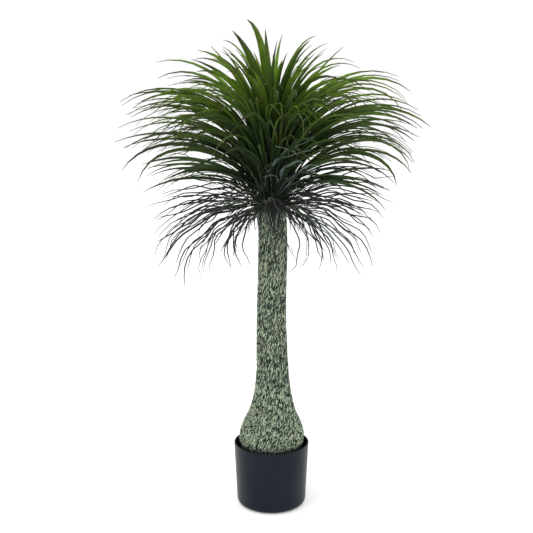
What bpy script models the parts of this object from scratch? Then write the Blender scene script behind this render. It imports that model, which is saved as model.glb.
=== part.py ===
"""Potted yucca: a plant with a swollen foot and a head of arching strap leaves, standing in a black pot.

Metres, +Z up. The origin is the centre of the pot's flat underside, and the front faces -Y.
Run with: blender --background --python part.py
"""

import math
from typing import NamedTuple

import bpy
import numpy as np

# Pot, a tapered shell with a rounded foot and a thin lip
POT_HEIGHT = 0.160
POT_RIM_RADIUS = 0.0945
POT_FOOT_RADIUS = 0.0873
POT_WALL = 0.0030
POT_FLOOR = 0.0040
POT_FOOT_ROUND = 0.014
POT_LIP_ROUND = 0.0012
POT_STEPS = 40

# Running gap that touching pieces keep
GAP = 0.0003

# Potting soil, a plug with a dished seat for the foot of the trunk
SOIL_LEVEL = 0.134
SOIL_BROW = 0.003
SOIL_STEPS = 32

# Trunk: (height, radius) down the outside, from the neck under the leaves to the foot in the soil
TRUNK_TOP = 0.745
TRUNK_FOOT = 0.086
TRUNK_PROFILE = (
    (TRUNK_TOP, 0.0335),
    (0.700, 0.0341),
    (0.620, 0.0346),
    (0.500, 0.0352),
    (0.400, 0.0376),
    (0.325, 0.0410),
    (0.283, 0.0468),
    (0.241, 0.0580),
    (0.209, 0.0728),
    (0.180, 0.0806),
    (0.158, 0.0785),
    (0.138, 0.0690),
    (0.112, 0.0520),
    (TRUNK_FOOT, 0.0320),
)
TRUNK_ROWS = 30
ROW_CROWDING = 0.80
TRUNK_STEPS = 32
BARK_RELIEF = 0.0013
BARK_FURROWS = 11
BARK_WAVERS = ((1.6, (2, 38)), (0.8, (0, 91)))
BARK_KNOTS = ((5, -150), (7, 110))
KNOT_SHARE = 0.35

# The stem sways to +X in slow waves that start from nothing at the soil
SWAY = 0.0015
SWAY_START = 0.12
SWAY_PERIOD = 0.36

# Leaves: each is one thin arched blade whose outer part is cut into fingers
GOLDEN_ANGLE = math.radians(137.508)
BLADE_THICKNESS = 0.0009
SPLIT = 0.45
FINGER_ROWS = (0.40, 0.76, 1.0)
FINGER_DROOP = 0.03
ROOT_TAPER = 0.6
PATH_STEPS = 60
ROOT_DEPTH = 0.80
ROOT_SPAN = (0.16, 0.84)
REACH = (0.82, 1.0)
FAN_SPREAD = (0.5, 1.2)
LEAF_FAN = 6.0
LEAF_ROLL = (26, 52)
SKIRT_FAN = 9.0
SKIRT_ROLL = (30, 60)
ROLL_AT_ROOT = 0.35
SKIRT_KINK = 0.0050
SWAY_WAVES = 13
HEAVE_WAVES = 19
KINK_START = 6
FOLLOWS_RISE = ("launch", "tip", "arch", "length", "width", "fingers")
LAUNCH_JITTER = 5.0
TIP_JITTER = 14.0
SKIRT_TIP_JITTER = 20.0
AZIMUTH_JITTER = 0.12
LENGTH_JITTER = 0.09
WIDTH_JITTER = 0.15
FINGER_JITTER = 0.5
DRIFT_JITTER = 12.0
FRONT_LIFT = 28.0
AIM_ROUNDS = 30
AIM_PACE = 0.8

# Where the viewer stands, for leaves that are aimed at places in the view
VIEWER = (-0.0125, -1.96, 0.905)

# Each leaf group stands out of its own short core, stacked on the neck of the trunk
SKIRT_CORE = (TRUNK_TOP + GAP, 0.782)
HEAD_CORE = (SKIRT_CORE[1] + GAP, 0.862)
CORE_STEPS = 20


class AimedLeaf(NamedTuple):
    """A leaf of the outline, aimed by where its tip shows.

    tip_x and tip_z place the tip, as the viewer sees it, on the upright plane through the pot's axis.
    Angles are in degrees.
    """

    tip_x: float
    tip_z: float
    azimuth: float
    launch: float
    arch: float
    width: float
    fingers: int


# Left side from the top, then the crown from left to right, the right side from the top, and the front
AIMED_LEAVES = (
    AimedLeaf(-0.274, 1.098, 172, 75, 1.9, 0.022, 2),
    AimedLeaf(-0.272, 1.063, -170, 77, 1.8, 0.022, 2),
    AimedLeaf(-0.341, 1.022, 176, 66, 1.3, 0.015, 1),
    AimedLeaf(-0.361, 1.001, -176, 66, 1.6, 0.022, 2),
    AimedLeaf(-0.346, 0.979, 168, 64, 1.4, 0.022, 2),
    AimedLeaf(-0.337, 0.970, -166, 64, 1.4, 0.015, 1),
    AimedLeaf(-0.371, 0.942, 178, 57, 1.2, 0.022, 2),
    AimedLeaf(-0.280, 0.915, -145, 62, 1.6, 0.013, 1),
    AimedLeaf(-0.377, 0.909, -174, 48, 1.1, 0.022, 2),
    AimedLeaf(-0.355, 0.896, 170, 51, 1.2, 0.015, 1),
    AimedLeaf(-0.313, 0.894, -160, 54, 1.2, 0.022, 2),
    AimedLeaf(-0.365, 0.843, -178, 40, 1.7, 0.018, 1),
    AimedLeaf(-0.324, 0.816, -164, 38, 2.0, 0.016, 1),
    AimedLeaf(-0.315, 0.857, 166, 30, 1.5, 0.014, 1),
    AimedLeaf(-0.300, 0.849, -172, 30, 1.2, 0.014, 1),
    AimedLeaf(-0.304, 0.835, -156, 30, 1.6, 0.022, 2),
    AimedLeaf(-0.262, 0.820, -145, 26, 1.6, 0.013, 1),
    AimedLeaf(-0.314, 0.789, 176, 16, 1.8, 0.015, 1),
    AimedLeaf(-0.178, 1.077, -135, 77, 1.8, 0.020, 1),
    AimedLeaf(-0.193, 1.039, -145, 77, 1.9, 0.018, 1),
    AimedLeaf(-0.192, 1.105, -150, 81, 1.5, 0.020, 1),
    AimedLeaf(-0.182, 1.106, 145, 82, 1.8, 0.018, 1),
    AimedLeaf(-0.175, 1.127, 150, 83, 1.7, 0.020, 1),
    AimedLeaf(-0.141, 1.139, -148, 82, 1.4, 0.024, 2),
    AimedLeaf(-0.116, 1.136, -135, 84, 2.0, 0.020, 1),
    AimedLeaf(-0.115, 1.150, 128, 84, 2.0, 0.022, 1),
    AimedLeaf(-0.093, 1.171, -122, 86, 1.8, 0.027, 1),
    AimedLeaf(-0.058, 1.195, -112, 90, 2.8, 0.026, 2),
    AimedLeaf(-0.015, 1.175, -98, 89, 2.0, 0.022, 1),
    AimedLeaf(0.026, 1.164, 72, 90, 2.0, 0.020, 1),
    AimedLeaf(0.103, 1.160, 48, 87, 2.2, 0.020, 1),
    AimedLeaf(0.089, 1.149, -50, 88, 2.2, 0.018, 1),
    AimedLeaf(0.127, 1.145, 38, 86, 2.0, 0.022, 2),
    AimedLeaf(0.171, 1.134, -30, 79, 1.3, 0.020, 1),
    AimedLeaf(0.209, 1.088, 26, 82, 2.0, 0.020, 2),
    AimedLeaf(0.172, 1.051, -35, 83, 2.2, 0.018, 1),
    AimedLeaf(0.220, 1.041, -15, 79, 2.2, 0.018, 1),
    AimedLeaf(0.210, 0.979, -30, 79, 2.0, 0.018, 1),
    AimedLeaf(0.305, 1.057, 8, 74, 1.6, 0.022, 2),
    AimedLeaf(0.332, 1.031, -6, 72, 1.7, 0.020, 1),
    AimedLeaf(0.323, 1.008, 15, 74, 1.5, 0.022, 2),
    AimedLeaf(0.350, 0.985, -2, 60, 1.7, 0.022, 2),
    AimedLeaf(0.316, 0.982, -14, 68, 2.0, 0.015, 1),
    AimedLeaf(0.382, 0.947, 4, 58, 1.5, 0.018, 1),
    AimedLeaf(0.365, 0.945, -8, 59, 1.6, 0.022, 2),
    AimedLeaf(0.349, 0.943, 12, 60, 1.3, 0.015, 1),
    AimedLeaf(0.357, 0.927, -15, 55, 1.3, 0.022, 2),
    AimedLeaf(0.344, 0.915, 18, 54, 1.3, 0.015, 1),
    AimedLeaf(0.341, 0.862, 0, 50, 1.4, 0.015, 1),
    AimedLeaf(0.340, 0.837, -10, 40, 2.4, 0.022, 2),
    AimedLeaf(0.338, 0.836, 10, 34, 2.0, 0.015, 1),
    AimedLeaf(0.304, 0.808, -22, 34, 2.4, 0.018, 1),
    AimedLeaf(0.318, 0.893, 24, 56, 1.3, 0.015, 1),
    AimedLeaf(0.287, 0.790, -4, 16, 1.8, 0.022, 2),
    AimedLeaf(0.291, 0.843, 14, 22, 1.4, 0.014, 1),
    AimedLeaf(0.280, 0.746, -12, 20, 1.4, 0.014, 1),
    AimedLeaf(-0.105, 0.925, -115, 60, 2.0, 0.016, 1),
    AimedLeaf(-0.204, 0.905, -132, 52, 1.9, 0.016, 1),
    AimedLeaf(-0.229, 0.927, -142, 66, 1.8, 0.016, 1),
    AimedLeaf(-0.136, 0.973, -120, 68, 1.8, 0.015, 1),
    AimedLeaf(-0.253, 0.981, -155, 72, 1.6, 0.015, 1),
    AimedLeaf(0.159, 0.964, -50, 75, 1.8, 0.016, 1),
    AimedLeaf(0.110, 0.964, -62, 76, 1.6, 0.015, 1),
)


# Dry strands of the outline: left side from the top, then the right side from the top
AIMED_STRANDS = (
    AimedLeaf(-0.304, 0.748, 176, 14, 1.2, 0.012, 2),
    AimedLeaf(-0.287, 0.726, -172, 12, 1.4, 0.011, 2),
    AimedLeaf(-0.291, 0.687, 168, 8, 1.4, 0.011, 2),
    AimedLeaf(-0.274, 0.667, -178, 4, 1.3, 0.012, 2),
    AimedLeaf(-0.292, 0.632, 174, 0, 1.3, 0.011, 2),
    AimedLeaf(-0.265, 0.625, -164, 2, 1.5, 0.012, 2),
    AimedLeaf(-0.273, 0.605, -175, -4, 1.3, 0.010, 1),
    AimedLeaf(-0.238, 0.617, 160, -4, 1.4, 0.012, 2),
    AimedLeaf(-0.211, 0.597, -168, -10, 1.3, 0.012, 2),
    AimedLeaf(-0.222, 0.555, 178, -14, 1.3, 0.012, 2),
    AimedLeaf(-0.174, 0.587, -158, -14, 1.4, 0.011, 2),
    AimedLeaf(-0.147, 0.597, 158, -16, 1.4, 0.011, 2),
    AimedLeaf(-0.100, 0.610, -148, -14, 1.5, 0.010, 2),
    AimedLeaf(-0.075, 0.607, 140, -18, 1.4, 0.010, 2),
    AimedLeaf(-0.051, 0.610, -125, -14, 1.5, 0.008, 1),
    AimedLeaf(0.303, 0.772, 4, 24, 1.2, 0.012, 2),
    AimedLeaf(0.277, 0.731, -10, 18, 1.4, 0.012, 2),
    AimedLeaf(0.248, 0.721, 12, 12, 1.4, 0.011, 2),
    AimedLeaf(0.241, 0.699, -4, 8, 1.3, 0.012, 2),
    AimedLeaf(0.249, 0.677, 16, 4, 1.3, 0.011, 2),
    AimedLeaf(0.254, 0.642, -14, 0, 1.4, 0.012, 2),
    AimedLeaf(0.245, 0.607, 2, -6, 1.3, 0.012, 2),
    AimedLeaf(0.213, 0.582, -8, -14, 1.2, 0.012, 2),
    AimedLeaf(0.162, 0.590, 14, -18, 1.3, 0.012, 2),
    AimedLeaf(0.124, 0.602, -24, -20, 1.4, 0.011, 2),
    AimedLeaf(0.070, 0.602, 35, -24, 1.5, 0.009, 2),
    AimedLeaf(0.041, 0.597, -50, -24, 1.5, 0.008, 1),
)


class LeafGroup(NamedTuple):
    """A group of like leaves: the aimed ones, then a number of others that follow a rule.

    rise lists shares of the climb from the lowest leaf, 0, to the highest, 1, and each tuple under it holds
    the value there. launch and tip are the angles at which a leaf leaves the core and ends, in degrees.
    """

    name: str
    aimed: tuple
    count: int
    seed: int
    core: tuple
    core_radii: tuple
    rise: tuple
    launch: tuple
    tip: tuple
    arch: tuple
    length: tuple
    width: tuple
    fingers: tuple
    dry: bool


LEAF_HEAD = LeafGroup(
    name="leaf_head", aimed=AIMED_LEAVES, count=62, seed=14, core=HEAD_CORE, core_radii=(0.035, 0.015),
    rise=(0.0, 0.12, 0.25, 0.45, 0.65, 0.80, 0.90, 1.0),
    launch=(20, 30, 42, 57, 68, 77, 83, 88),
    tip=(-30, -35, -50, -38, -35, -15, 20, 45),
    arch=(1.6, 1.5, 1.8, 1.4, 1.5, 1.7, 1.8, 2.6),
    length=(0.26, 0.30, 0.35, 0.39, 0.39, 0.345, 0.31, 0.30),
    width=(0.012, 0.012, 0.013, 0.014, 0.016, 0.018, 0.021, 0.024),
    fingers=(1.4, 1.5, 1.6, 1.8, 1.7, 1.3, 1.0, 1.0),
    dry=False,
)
DRY_SKIRT = LeafGroup(
    name="dry_skirt", aimed=AIMED_STRANDS, count=24, seed=37, core=SKIRT_CORE, core_radii=(0.0370, 0.0365),
    rise=(0.0, 0.35, 0.7, 1.0),
    launch=(-24, 0, 16, 28),
    tip=(-74, -56, -34, -10),
    arch=(1.4, 1.3, 1.2, 1.2),
    length=(0.180, 0.240, 0.270, 0.260),
    width=(0.010, 0.011, 0.011, 0.011),
    fingers=(2.0, 2.0, 2.0, 2.0),
    dry=True,
)


def clear_scene():
    for old in list(bpy.data.objects):
        bpy.data.objects.remove(old, do_unlink=True)


def new_collection(name):
    made = bpy.data.collections.new(name)
    bpy.context.scene.collection.children.link(made)
    return made


def finish_material(name, colour, roughness):
    """A Principled BSDF of one colour, for a surface that isn't metal."""
    made = bpy.data.materials.new(name)
    made.use_nodes = True
    shader = made.node_tree.nodes["Principled BSDF"]
    shader.inputs["Base Color"].default_value = (*colour, 1.0)
    shader.inputs["Roughness"].default_value = roughness
    shader.inputs["Metallic"].default_value = 0.0
    return made


def add_object(name, mesh, collection, material):
    made = bpy.data.objects.new(name, mesh)
    mesh.materials.clear()
    mesh.materials.append(material)
    collection.objects.link(made)
    return made


def evaluated_mesh(obj):
    """The object's mesh with its modifiers applied."""
    bpy.context.view_layer.update()
    graph = bpy.context.evaluated_depsgraph_get()
    return bpy.data.meshes.new_from_object(obj.evaluated_get(graph))


def turned(name, profile, steps, collection, material):
    """A solid of revolution about Z. The (radius, height) profile runs down the outer side."""
    mesh = bpy.data.meshes.new(name)
    points = [(radius, 0.0, height) for radius, height in profile]
    mesh.from_pydata(points, [(i, i + 1) for i in range(len(points) - 1)], [])
    made = add_object(name, mesh, collection, material)
    screw = made.modifiers.new("Turn", "SCREW")
    screw.steps = screw.render_steps = steps
    screw.use_merge_vertices = True
    screw.merge_threshold = 0.0001
    screw.use_smooth_shade = True
    return made


def arc(centre, radius, start, end, steps):
    """(radius, height) points on a round stretch of a profile. Angles are in degrees from outward."""
    angles = np.radians(np.linspace(start, end, steps + 1))
    return [(centre[0] + radius * math.cos(a), centre[1] + radius * math.sin(a)) for a in angles]


def wall_radius(height):
    """Outer radius of the pot at a height: a straight taper from the rim to the foot."""
    share = (height - POT_FOOT_ROUND) / (POT_HEIGHT - POT_FOOT_ROUND)
    return POT_FOOT_RADIUS + (POT_RIM_RADIUS - POT_FOOT_RADIUS) * share


def make_pot(collection, material):
    inner_floor = wall_radius(POT_FOOT_ROUND) - POT_WALL
    lip_outer = (POT_RIM_RADIUS - POT_LIP_ROUND, POT_HEIGHT - POT_LIP_ROUND)
    lip_inner = (POT_RIM_RADIUS - POT_WALL + POT_LIP_ROUND, POT_HEIGHT - POT_LIP_ROUND)
    foot = (POT_FOOT_RADIUS - POT_FOOT_ROUND, POT_FOOT_ROUND)
    inside = [(0.0, POT_FLOOR), (inner_floor - POT_FOOT_ROUND / 2, POT_FLOOR), (inner_floor, POT_FOOT_ROUND)]
    profile = inside + arc(lip_inner, POT_LIP_ROUND, 180, 90, 2) + arc(lip_outer, POT_LIP_ROUND, 90, 0, 2)
    profile += arc(foot, POT_FOOT_ROUND, 0, -90, 4) + [(0.0, 0.0)]
    return turned("pot", profile, POT_STEPS, collection, material)


def trunk_radius(height):
    """Radius of the trunk at a height, on a smooth curve through the profile's points."""
    heights = np.array([h for h, _ in reversed(TRUNK_PROFILE)])
    radii = np.array([r for _, r in reversed(TRUNK_PROFILE)])
    slopes = np.gradient(radii, heights)
    height = np.clip(height, heights[0], heights[-1])
    i = np.clip(np.searchsorted(heights, height) - 1, 0, len(heights) - 2)
    span = heights[i + 1] - heights[i]
    t = (height - heights[i]) / span
    start = (1 + 2 * t) * (1 - t) ** 2 * radii[i] + t * (1 - t) ** 2 * span * slopes[i]
    end = t * t * (3 - 2 * t) * radii[i + 1] + t * t * (t - 1) * span * slopes[i + 1]
    return start + end


def bark(angle, height):
    """Relief of the bark, from -1 to 1: wavering furrows up the trunk, broken by slower cross waves.

    A wave is (waves around, radians per metre of height).
    """
    waver = 0.0
    for weight, (around, upward) in BARK_WAVERS:
        waver = waver + weight * np.sin(around * angle + upward * height)
    furrows = np.sin(BARK_FURROWS * angle + waver)
    knots = 1.0
    for around, upward in BARK_KNOTS:
        knots = knots * np.sin(around * angle + upward * height)
    return (1 - KNOT_SHARE) * furrows + KNOT_SHARE * knots


def make_soil(collection, material):
    """A plug that fills the pot. Its dished middle follows the foot of the trunk a gap away."""
    bottom = POT_FLOOR + GAP
    round_start = POT_FOOT_ROUND + GAP
    seat = []
    for height in np.linspace(TRUNK_FOOT, SOIL_LEVEL, 4):
        seat.append((float(trunk_radius(height)) + BARK_RELIEF + 2 * GAP, float(height)))
    seat[0] = (seat[0][0], TRUNK_FOOT - GAP)
    edge = wall_radius(SOIL_LEVEL - SOIL_BROW) - POT_WALL - 2 * GAP
    base = wall_radius(POT_FOOT_ROUND) - POT_WALL - 2 * GAP
    profile = [(0.0, TRUNK_FOOT - GAP)] + seat
    profile += [(edge, SOIL_LEVEL - SOIL_BROW), (base, round_start)]
    profile += [(base - POT_FOOT_ROUND / 2, bottom), (0.0, bottom)]
    return turned("potting_soil", profile, SOIL_STEPS, collection, material)


def make_trunk(collection, material):
    """The turned foot and stem, swaying a little sideways, with bark raised by a formula."""
    heights = TRUNK_TOP + (TRUNK_FOOT - TRUNK_TOP) * np.linspace(0.0, 1.0, TRUNK_ROWS) ** ROW_CROWDING
    outside = [(float(trunk_radius(h)), float(h)) for h in heights]
    profile = [(0.0, TRUNK_TOP)] + outside + [(0.0, TRUNK_FOOT)]
    blank = turned("trunk", profile, TRUNK_STEPS, collection, material)
    mesh = evaluated_mesh(blank)
    bpy.data.objects.remove(blank, do_unlink=True)
    points = np.empty(len(mesh.vertices) * 3)
    mesh.vertices.foreach_get("co", points)
    points = points.reshape(-1, 3)
    radius = np.hypot(points[:, 0], points[:, 1])
    raised = radius + BARK_RELIEF * bark(np.arctan2(points[:, 1], points[:, 0]), points[:, 2])
    scale = np.where(radius > 0.001, raised / np.maximum(radius, 0.001), 1.0)
    points[:, :2] *= scale[:, None]
    points[:, 0] += SWAY * (1 - np.cos(2 * math.pi * (points[:, 2] - SWAY_START) / SWAY_PERIOD))
    mesh.vertices.foreach_set("co", points.ravel())
    return add_object("trunk", mesh, collection, material)


def smooth(value):
    value = np.clip(value, 0, 1)
    return value * value * (3 - 2 * value)


def between(pair, share):
    return pair[0] + (pair[1] - pair[0]) * share


def jittered(random, spread):
    """A draw between minus and plus the spread."""
    return spread * random.uniform(-1, 1)


def rooted(group, rise, azimuth, random):
    """What every leaf has: its place on the core and the draws that set it apart."""
    roll = SKIRT_ROLL if group.dry else LEAF_ROLL
    fan = SKIRT_FAN if group.dry else LEAF_FAN
    return {
        "rise": rise,
        "azimuth": azimuth,
        "root_height": between(group.core, between(ROOT_SPAN, rise)),
        "root_radius": ROOT_DEPTH * between(group.core_radii, rise),
        "reach": random.uniform(*REACH, 4),
        "fan": math.radians(fan * random.uniform(*FAN_SPREAD)),
        "roll": random.choice([-1, 1]) * math.radians(random.uniform(*roll)),
        "kink": SKIRT_KINK if group.dry else 0.0,
        "phase": random.uniform(0, 2 * math.pi),
    }


def leaf_spec(group, index, random):
    """The numbers of one leaf that follows the group's rule.

    Leaves climb the core by the golden angle, and each higher one is launched steeper. Those that lean
    towards the viewer are launched steeper too.
    """
    rise = index / (group.count - 1)
    at_rise = {name: float(np.interp(rise, group.rise, getattr(group, name))) for name in FOLLOWS_RISE}
    azimuth = index * GOLDEN_ANGLE + jittered(random, AZIMUTH_JITTER)
    to_viewer = max(0.0, -math.sin(azimuth)) ** 2 * (1 - rise)
    lift = 0.0 if group.dry else FRONT_LIFT * to_viewer
    launch = at_rise["launch"] + lift + jittered(random, LAUNCH_JITTER)
    tip = at_rise["tip"] + jittered(random, SKIRT_TIP_JITTER if group.dry else TIP_JITTER)
    spec = rooted(group, rise, azimuth, random)
    spec["launch"] = math.radians(launch)
    spec["bend"] = math.radians(launch - tip)
    spec["arch"] = at_rise["arch"]
    spec["length"] = at_rise["length"] * (1 + jittered(random, LENGTH_JITTER))
    spec["width"] = at_rise["width"] * (1 + jittered(random, WIDTH_JITTER))
    spec["fingers"] = max(1, round(at_rise["fingers"] + jittered(random, FINGER_JITTER)))
    spec["drift"] = math.radians(jittered(random, DRIFT_JITTER))
    return spec


def aimed_spec(group, leaf, random):
    """The numbers of an aimed leaf, bent and stretched until its tip lies on the line of sight."""
    rise = float(np.interp(leaf.launch, group.launch, group.rise))
    azimuth = math.radians(leaf.azimuth)
    spec = rooted(group, rise, azimuth, random)
    spec["launch"] = math.radians(leaf.launch)
    spec["arch"] = leaf.arch
    spec["width"] = leaf.width
    spec["fingers"] = leaf.fingers
    spec["drift"] = 0.0
    across, depth, height = VIEWER
    cos, sin = math.cos(azimuth), math.sin(azimuth)
    share = (depth * cos - across * sin) / (depth * cos + (leaf.tip_x - across) * sin)
    tip_radius = (across + share * (leaf.tip_x - across)) * cos + depth * (1 - share) * sin
    tip_height = height + share * (leaf.tip_z - height)
    out, up = tip_radius - spec["root_radius"], tip_height - spec["root_height"]
    spec["bend"] = 1.0
    spec["length"] = math.hypot(out, up)
    for _ in range(AIM_ROUNDS):
        radius, rising = leaf_path(spec)
        reached_out, reached_up = radius[-1] - radius[0], rising[-1] - rising[0]
        turn = math.atan2(reached_up, reached_out) - math.atan2(up, out)
        spec["bend"] += AIM_PACE * (spec["arch"] + 1) * turn
        spec["length"] *= math.hypot(out, up) / math.hypot(reached_out, reached_up)
    return spec


def leaf_path(spec):
    """Radius and height along a leaf's centreline. It climbs at an angle that falls as share ** arch."""
    middle = (np.arange(PATH_STEPS) + 0.5) / PATH_STEPS
    climb = spec["launch"] - spec["bend"] * middle ** spec["arch"]
    step = spec["length"] / PATH_STEPS
    radius = spec["root_radius"] + np.concatenate([[0], np.cumsum(np.cos(climb) * step)])
    height = spec["root_height"] + np.concatenate([[0], np.cumsum(np.sin(climb) * step)])
    return radius, height


def leaf_frame(spec, shares):
    """Centreline points, side directions and upward directions at these shares of a leaf's length.

    The leaf drifts a little sideways and rolls about itself.
    """
    fine = np.linspace(0.0, 1.0, PATH_STEPS + 1)
    radius, height = leaf_path(spec)
    radius = np.interp(shares, fine, radius)
    height = np.interp(shares, fine, height)
    around = spec["azimuth"] + spec["drift"] * shares ** 2
    points = np.stack([radius * np.cos(around), radius * np.sin(around), height], axis=1)
    climb = spec["launch"] - spec["bend"] * shares ** spec["arch"]
    across = np.stack([-np.sin(around), np.cos(around), np.zeros_like(shares)], axis=1)
    up = np.stack([-np.sin(climb) * np.cos(around), -np.sin(climb) * np.sin(around), np.cos(climb)], axis=1)
    roll = (spec["roll"] * (ROLL_AT_ROOT + (1 - ROLL_AT_ROOT) * smooth(shares)))[:, None]
    side = across * np.cos(roll) + up * np.sin(roll)
    lift = up * np.cos(roll) - across * np.sin(roll)
    start = np.minimum(1, KINK_START * shares)
    sway = spec["kink"] * np.sin(spec["phase"] + SWAY_WAVES * shares) * start
    heave = spec["kink"] * np.sin(2 * spec["phase"] + HEAVE_WAVES * shares) * start
    return points + side * sway[:, None] + lift * heave[:, None], side, lift


def finger_width(share):
    """Half width of a finger by its share of the way from the split to the tip."""
    return (1 - share) ** 0.6 * (1 + 0.4 * share)


def blade_mesh(name, spec):
    """One leaf as an open sheet: a strap that splits into fingers, each ending in a point."""
    fingers = spec["fingers"]
    half = spec["width"] / 2
    points, side, _ = leaf_frame(spec, np.array([0.0, SPLIT / 2, SPLIT]))
    middle = (1 + ROOT_TAPER) / 2
    vertices = [points[0] - side[0] * half * ROOT_TAPER, points[0] + side[0] * half * ROOT_TAPER]
    vertices += [points[1] - side[1] * half * middle, points[1] + side[1] * half * middle]
    vertices += [points[2] + side[2] * offset for offset in np.linspace(-half, half, fingers + 1)]
    faces = [(0, 2, 3, 1), (2, *range(4, 5 + fingers), 3)]
    finger_half = half / fingers
    for finger in range(fingers):
        place = finger - (fingers - 1) / 2
        away = finger - (fingers - 1) // 2
        reach = spec["reach"][finger] if away else 1.0
        beyond = (1.0 - SPLIT) * reach * np.array(FINGER_ROWS)
        points, side, lift = leaf_frame(spec, SPLIT + beyond)
        beyond = (beyond * spec["length"])[:, None]
        centres = points + side * (place * 2 * finger_half + away * spec["fan"] * beyond)
        centres -= lift * abs(away) * FINGER_DROOP * beyond
        base = (4 + finger, 5 + finger)
        for row, share in enumerate(FINGER_ROWS[:-1]):
            across = side[row] * finger_half * finger_width(share)
            first = len(vertices)
            vertices += [centres[row] - across, centres[row] + across]
            faces.append((base[0], first, first + 1, base[1]))
            base = (first, first + 1)
        faces.append((base[0], len(vertices), base[1]))
        vertices.append(centres[-1])
    mesh = bpy.data.meshes.new(name)
    mesh.from_pydata([tuple(v) for v in vertices], [], faces)
    return mesh


def keep_outer_shell(mesh):
    """Deletes what a union sealed inside or cut loose: every island of faces but the largest."""
    parent = np.arange(len(mesh.vertices))
    ends = np.empty(len(mesh.edges) * 2, np.int64)
    mesh.edges.foreach_get("vertices", ends)
    ends = ends.reshape(-1, 2)
    while True:
        low = parent[ends].min(axis=1)
        merged = parent.copy()
        np.minimum.at(merged, ends[:, 0], low)
        np.minimum.at(merged, ends[:, 1], low)
        if (merged == parent).all():
            break
        parent = merged
    islands, sizes = np.unique(parent, return_counts=True)
    loose = np.flatnonzero(parent != islands[np.argmax(sizes)])
    if len(loose) == 0:
        return mesh
    keep = np.ones(len(mesh.vertices), bool)
    keep[loose] = False
    index = np.cumsum(keep) - 1
    vertices = [tuple(v.co) for v, kept in zip(mesh.vertices, keep) if kept]
    faces = [[int(index[v]) for v in p.vertices] for p in mesh.polygons if keep[p.vertices[0]]]
    cleaned = bpy.data.meshes.new(mesh.name)
    cleaned.from_pydata(vertices, [], faces)
    return cleaned


def make_leaves(group, collection, material):
    """The group's core with all its leaves joined to it as one body.

    The manifold solver joins this many crossing blades at once, where the exact one is slow.
    """
    blades = new_collection(group.name + "_blades")
    random = np.random.RandomState(group.seed)
    specs = [aimed_spec(group, leaf, random) for leaf in group.aimed]
    specs += [leaf_spec(group, index, random) for index in range(group.count)]
    for index, spec in enumerate(specs):
        name = f"{group.name}_{index:03d}"
        blade = add_object(name, blade_mesh(name, spec), blades, material)
        sheet = blade.modifiers.new("Thickness", "SOLIDIFY")
        sheet.thickness = BLADE_THICKNESS
        sheet.offset = 0.0
    low, high = group.core
    profile = [(0.0, high), (group.core_radii[1], high), (group.core_radii[0], low), (0.0, low)]
    core = turned(group.name, profile, CORE_STEPS, collection, material)
    join = core.modifiers.new("Join", "BOOLEAN")
    join.operation = "UNION"
    join.operand_type = "COLLECTION"
    join.collection = blades
    join.solver = "MANIFOLD"
    joined = keep_outer_shell(evaluated_mesh(core))
    for used in [core, *blades.objects]:
        bpy.data.objects.remove(used, do_unlink=True)
    bpy.data.collections.remove(blades)
    return add_object(group.name, joined, collection, material)


def main():
    clear_scene()
    plant = new_collection("potted_yucca")
    make_pot(plant, finish_material("black_plastic", (0.020, 0.023, 0.027), 0.42))
    make_soil(plant, finish_material("dark_soil", (0.018, 0.015, 0.012), 0.95))
    make_trunk(plant, finish_material("grey_green_bark", (0.285, 0.350, 0.235), 0.90))
    make_leaves(LEAF_HEAD, plant, finish_material("leaf_green", (0.050, 0.125, 0.022), 0.50))
    make_leaves(DRY_SKIRT, plant, finish_material("dry_leaf_grey", (0.030, 0.035, 0.030), 0.75))


main()
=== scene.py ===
"""Potted yucca: the finished look of the plant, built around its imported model.

The file is laid out as a Blender add-on and is run as a script. Each operator makes one piece of the
plant as a numpy surface, gives it a procedural finish and lets it stand for the plain solid of that piece.
Metres, +Z up, the origin at the centre of the pot's flat underside, the front towards -Y.
"""

import math
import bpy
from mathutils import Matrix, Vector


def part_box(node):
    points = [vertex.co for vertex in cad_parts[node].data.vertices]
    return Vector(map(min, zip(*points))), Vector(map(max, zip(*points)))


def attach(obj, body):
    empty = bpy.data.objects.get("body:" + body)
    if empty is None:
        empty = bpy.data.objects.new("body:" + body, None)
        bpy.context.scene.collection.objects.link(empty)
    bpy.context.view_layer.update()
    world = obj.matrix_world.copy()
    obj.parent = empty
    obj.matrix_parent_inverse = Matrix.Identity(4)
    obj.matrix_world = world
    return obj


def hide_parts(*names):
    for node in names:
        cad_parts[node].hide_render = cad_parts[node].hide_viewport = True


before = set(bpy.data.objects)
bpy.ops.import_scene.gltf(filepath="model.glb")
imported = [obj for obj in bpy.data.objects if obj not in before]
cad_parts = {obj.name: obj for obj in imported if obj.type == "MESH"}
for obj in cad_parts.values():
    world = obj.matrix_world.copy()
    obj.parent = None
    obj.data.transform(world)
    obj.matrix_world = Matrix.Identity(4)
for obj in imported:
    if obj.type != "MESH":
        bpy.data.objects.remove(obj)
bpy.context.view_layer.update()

from types import SimpleNamespace
from typing import NamedTuple

import bpy
import numpy as np
from bpy.props import FloatProperty, FloatVectorProperty, IntProperty, PointerProperty
from bpy.types import Operator, Panel, PropertyGroup

bl_info = {
    "name": "Potted Yucca",
    "version": (1, 0, 0),
    "blender": (4, 5, 0),
    "location": "View3D > Sidebar > Yucca",
    "description": "Makes a potted yucca with furrowed bark, arching leaves and a skirt of dry strands",
    "category": "Object",
}

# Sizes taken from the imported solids, and the gap between two that touch
_, POT_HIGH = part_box("pot")
TRUNK_LOW, TRUNK_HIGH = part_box("trunk")
_, SOIL_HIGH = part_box("potting_soil")
POT_HEIGHT = POT_HIGH[2]
POT_RIM_RADIUS = POT_HIGH[0]
TRUNK_TOP = TRUNK_HIGH[2]
TRUNK_FOOT = TRUNK_LOW[2]
SOIL_LEVEL = SOIL_HIGH[2]
GAP = 0.0003

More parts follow.
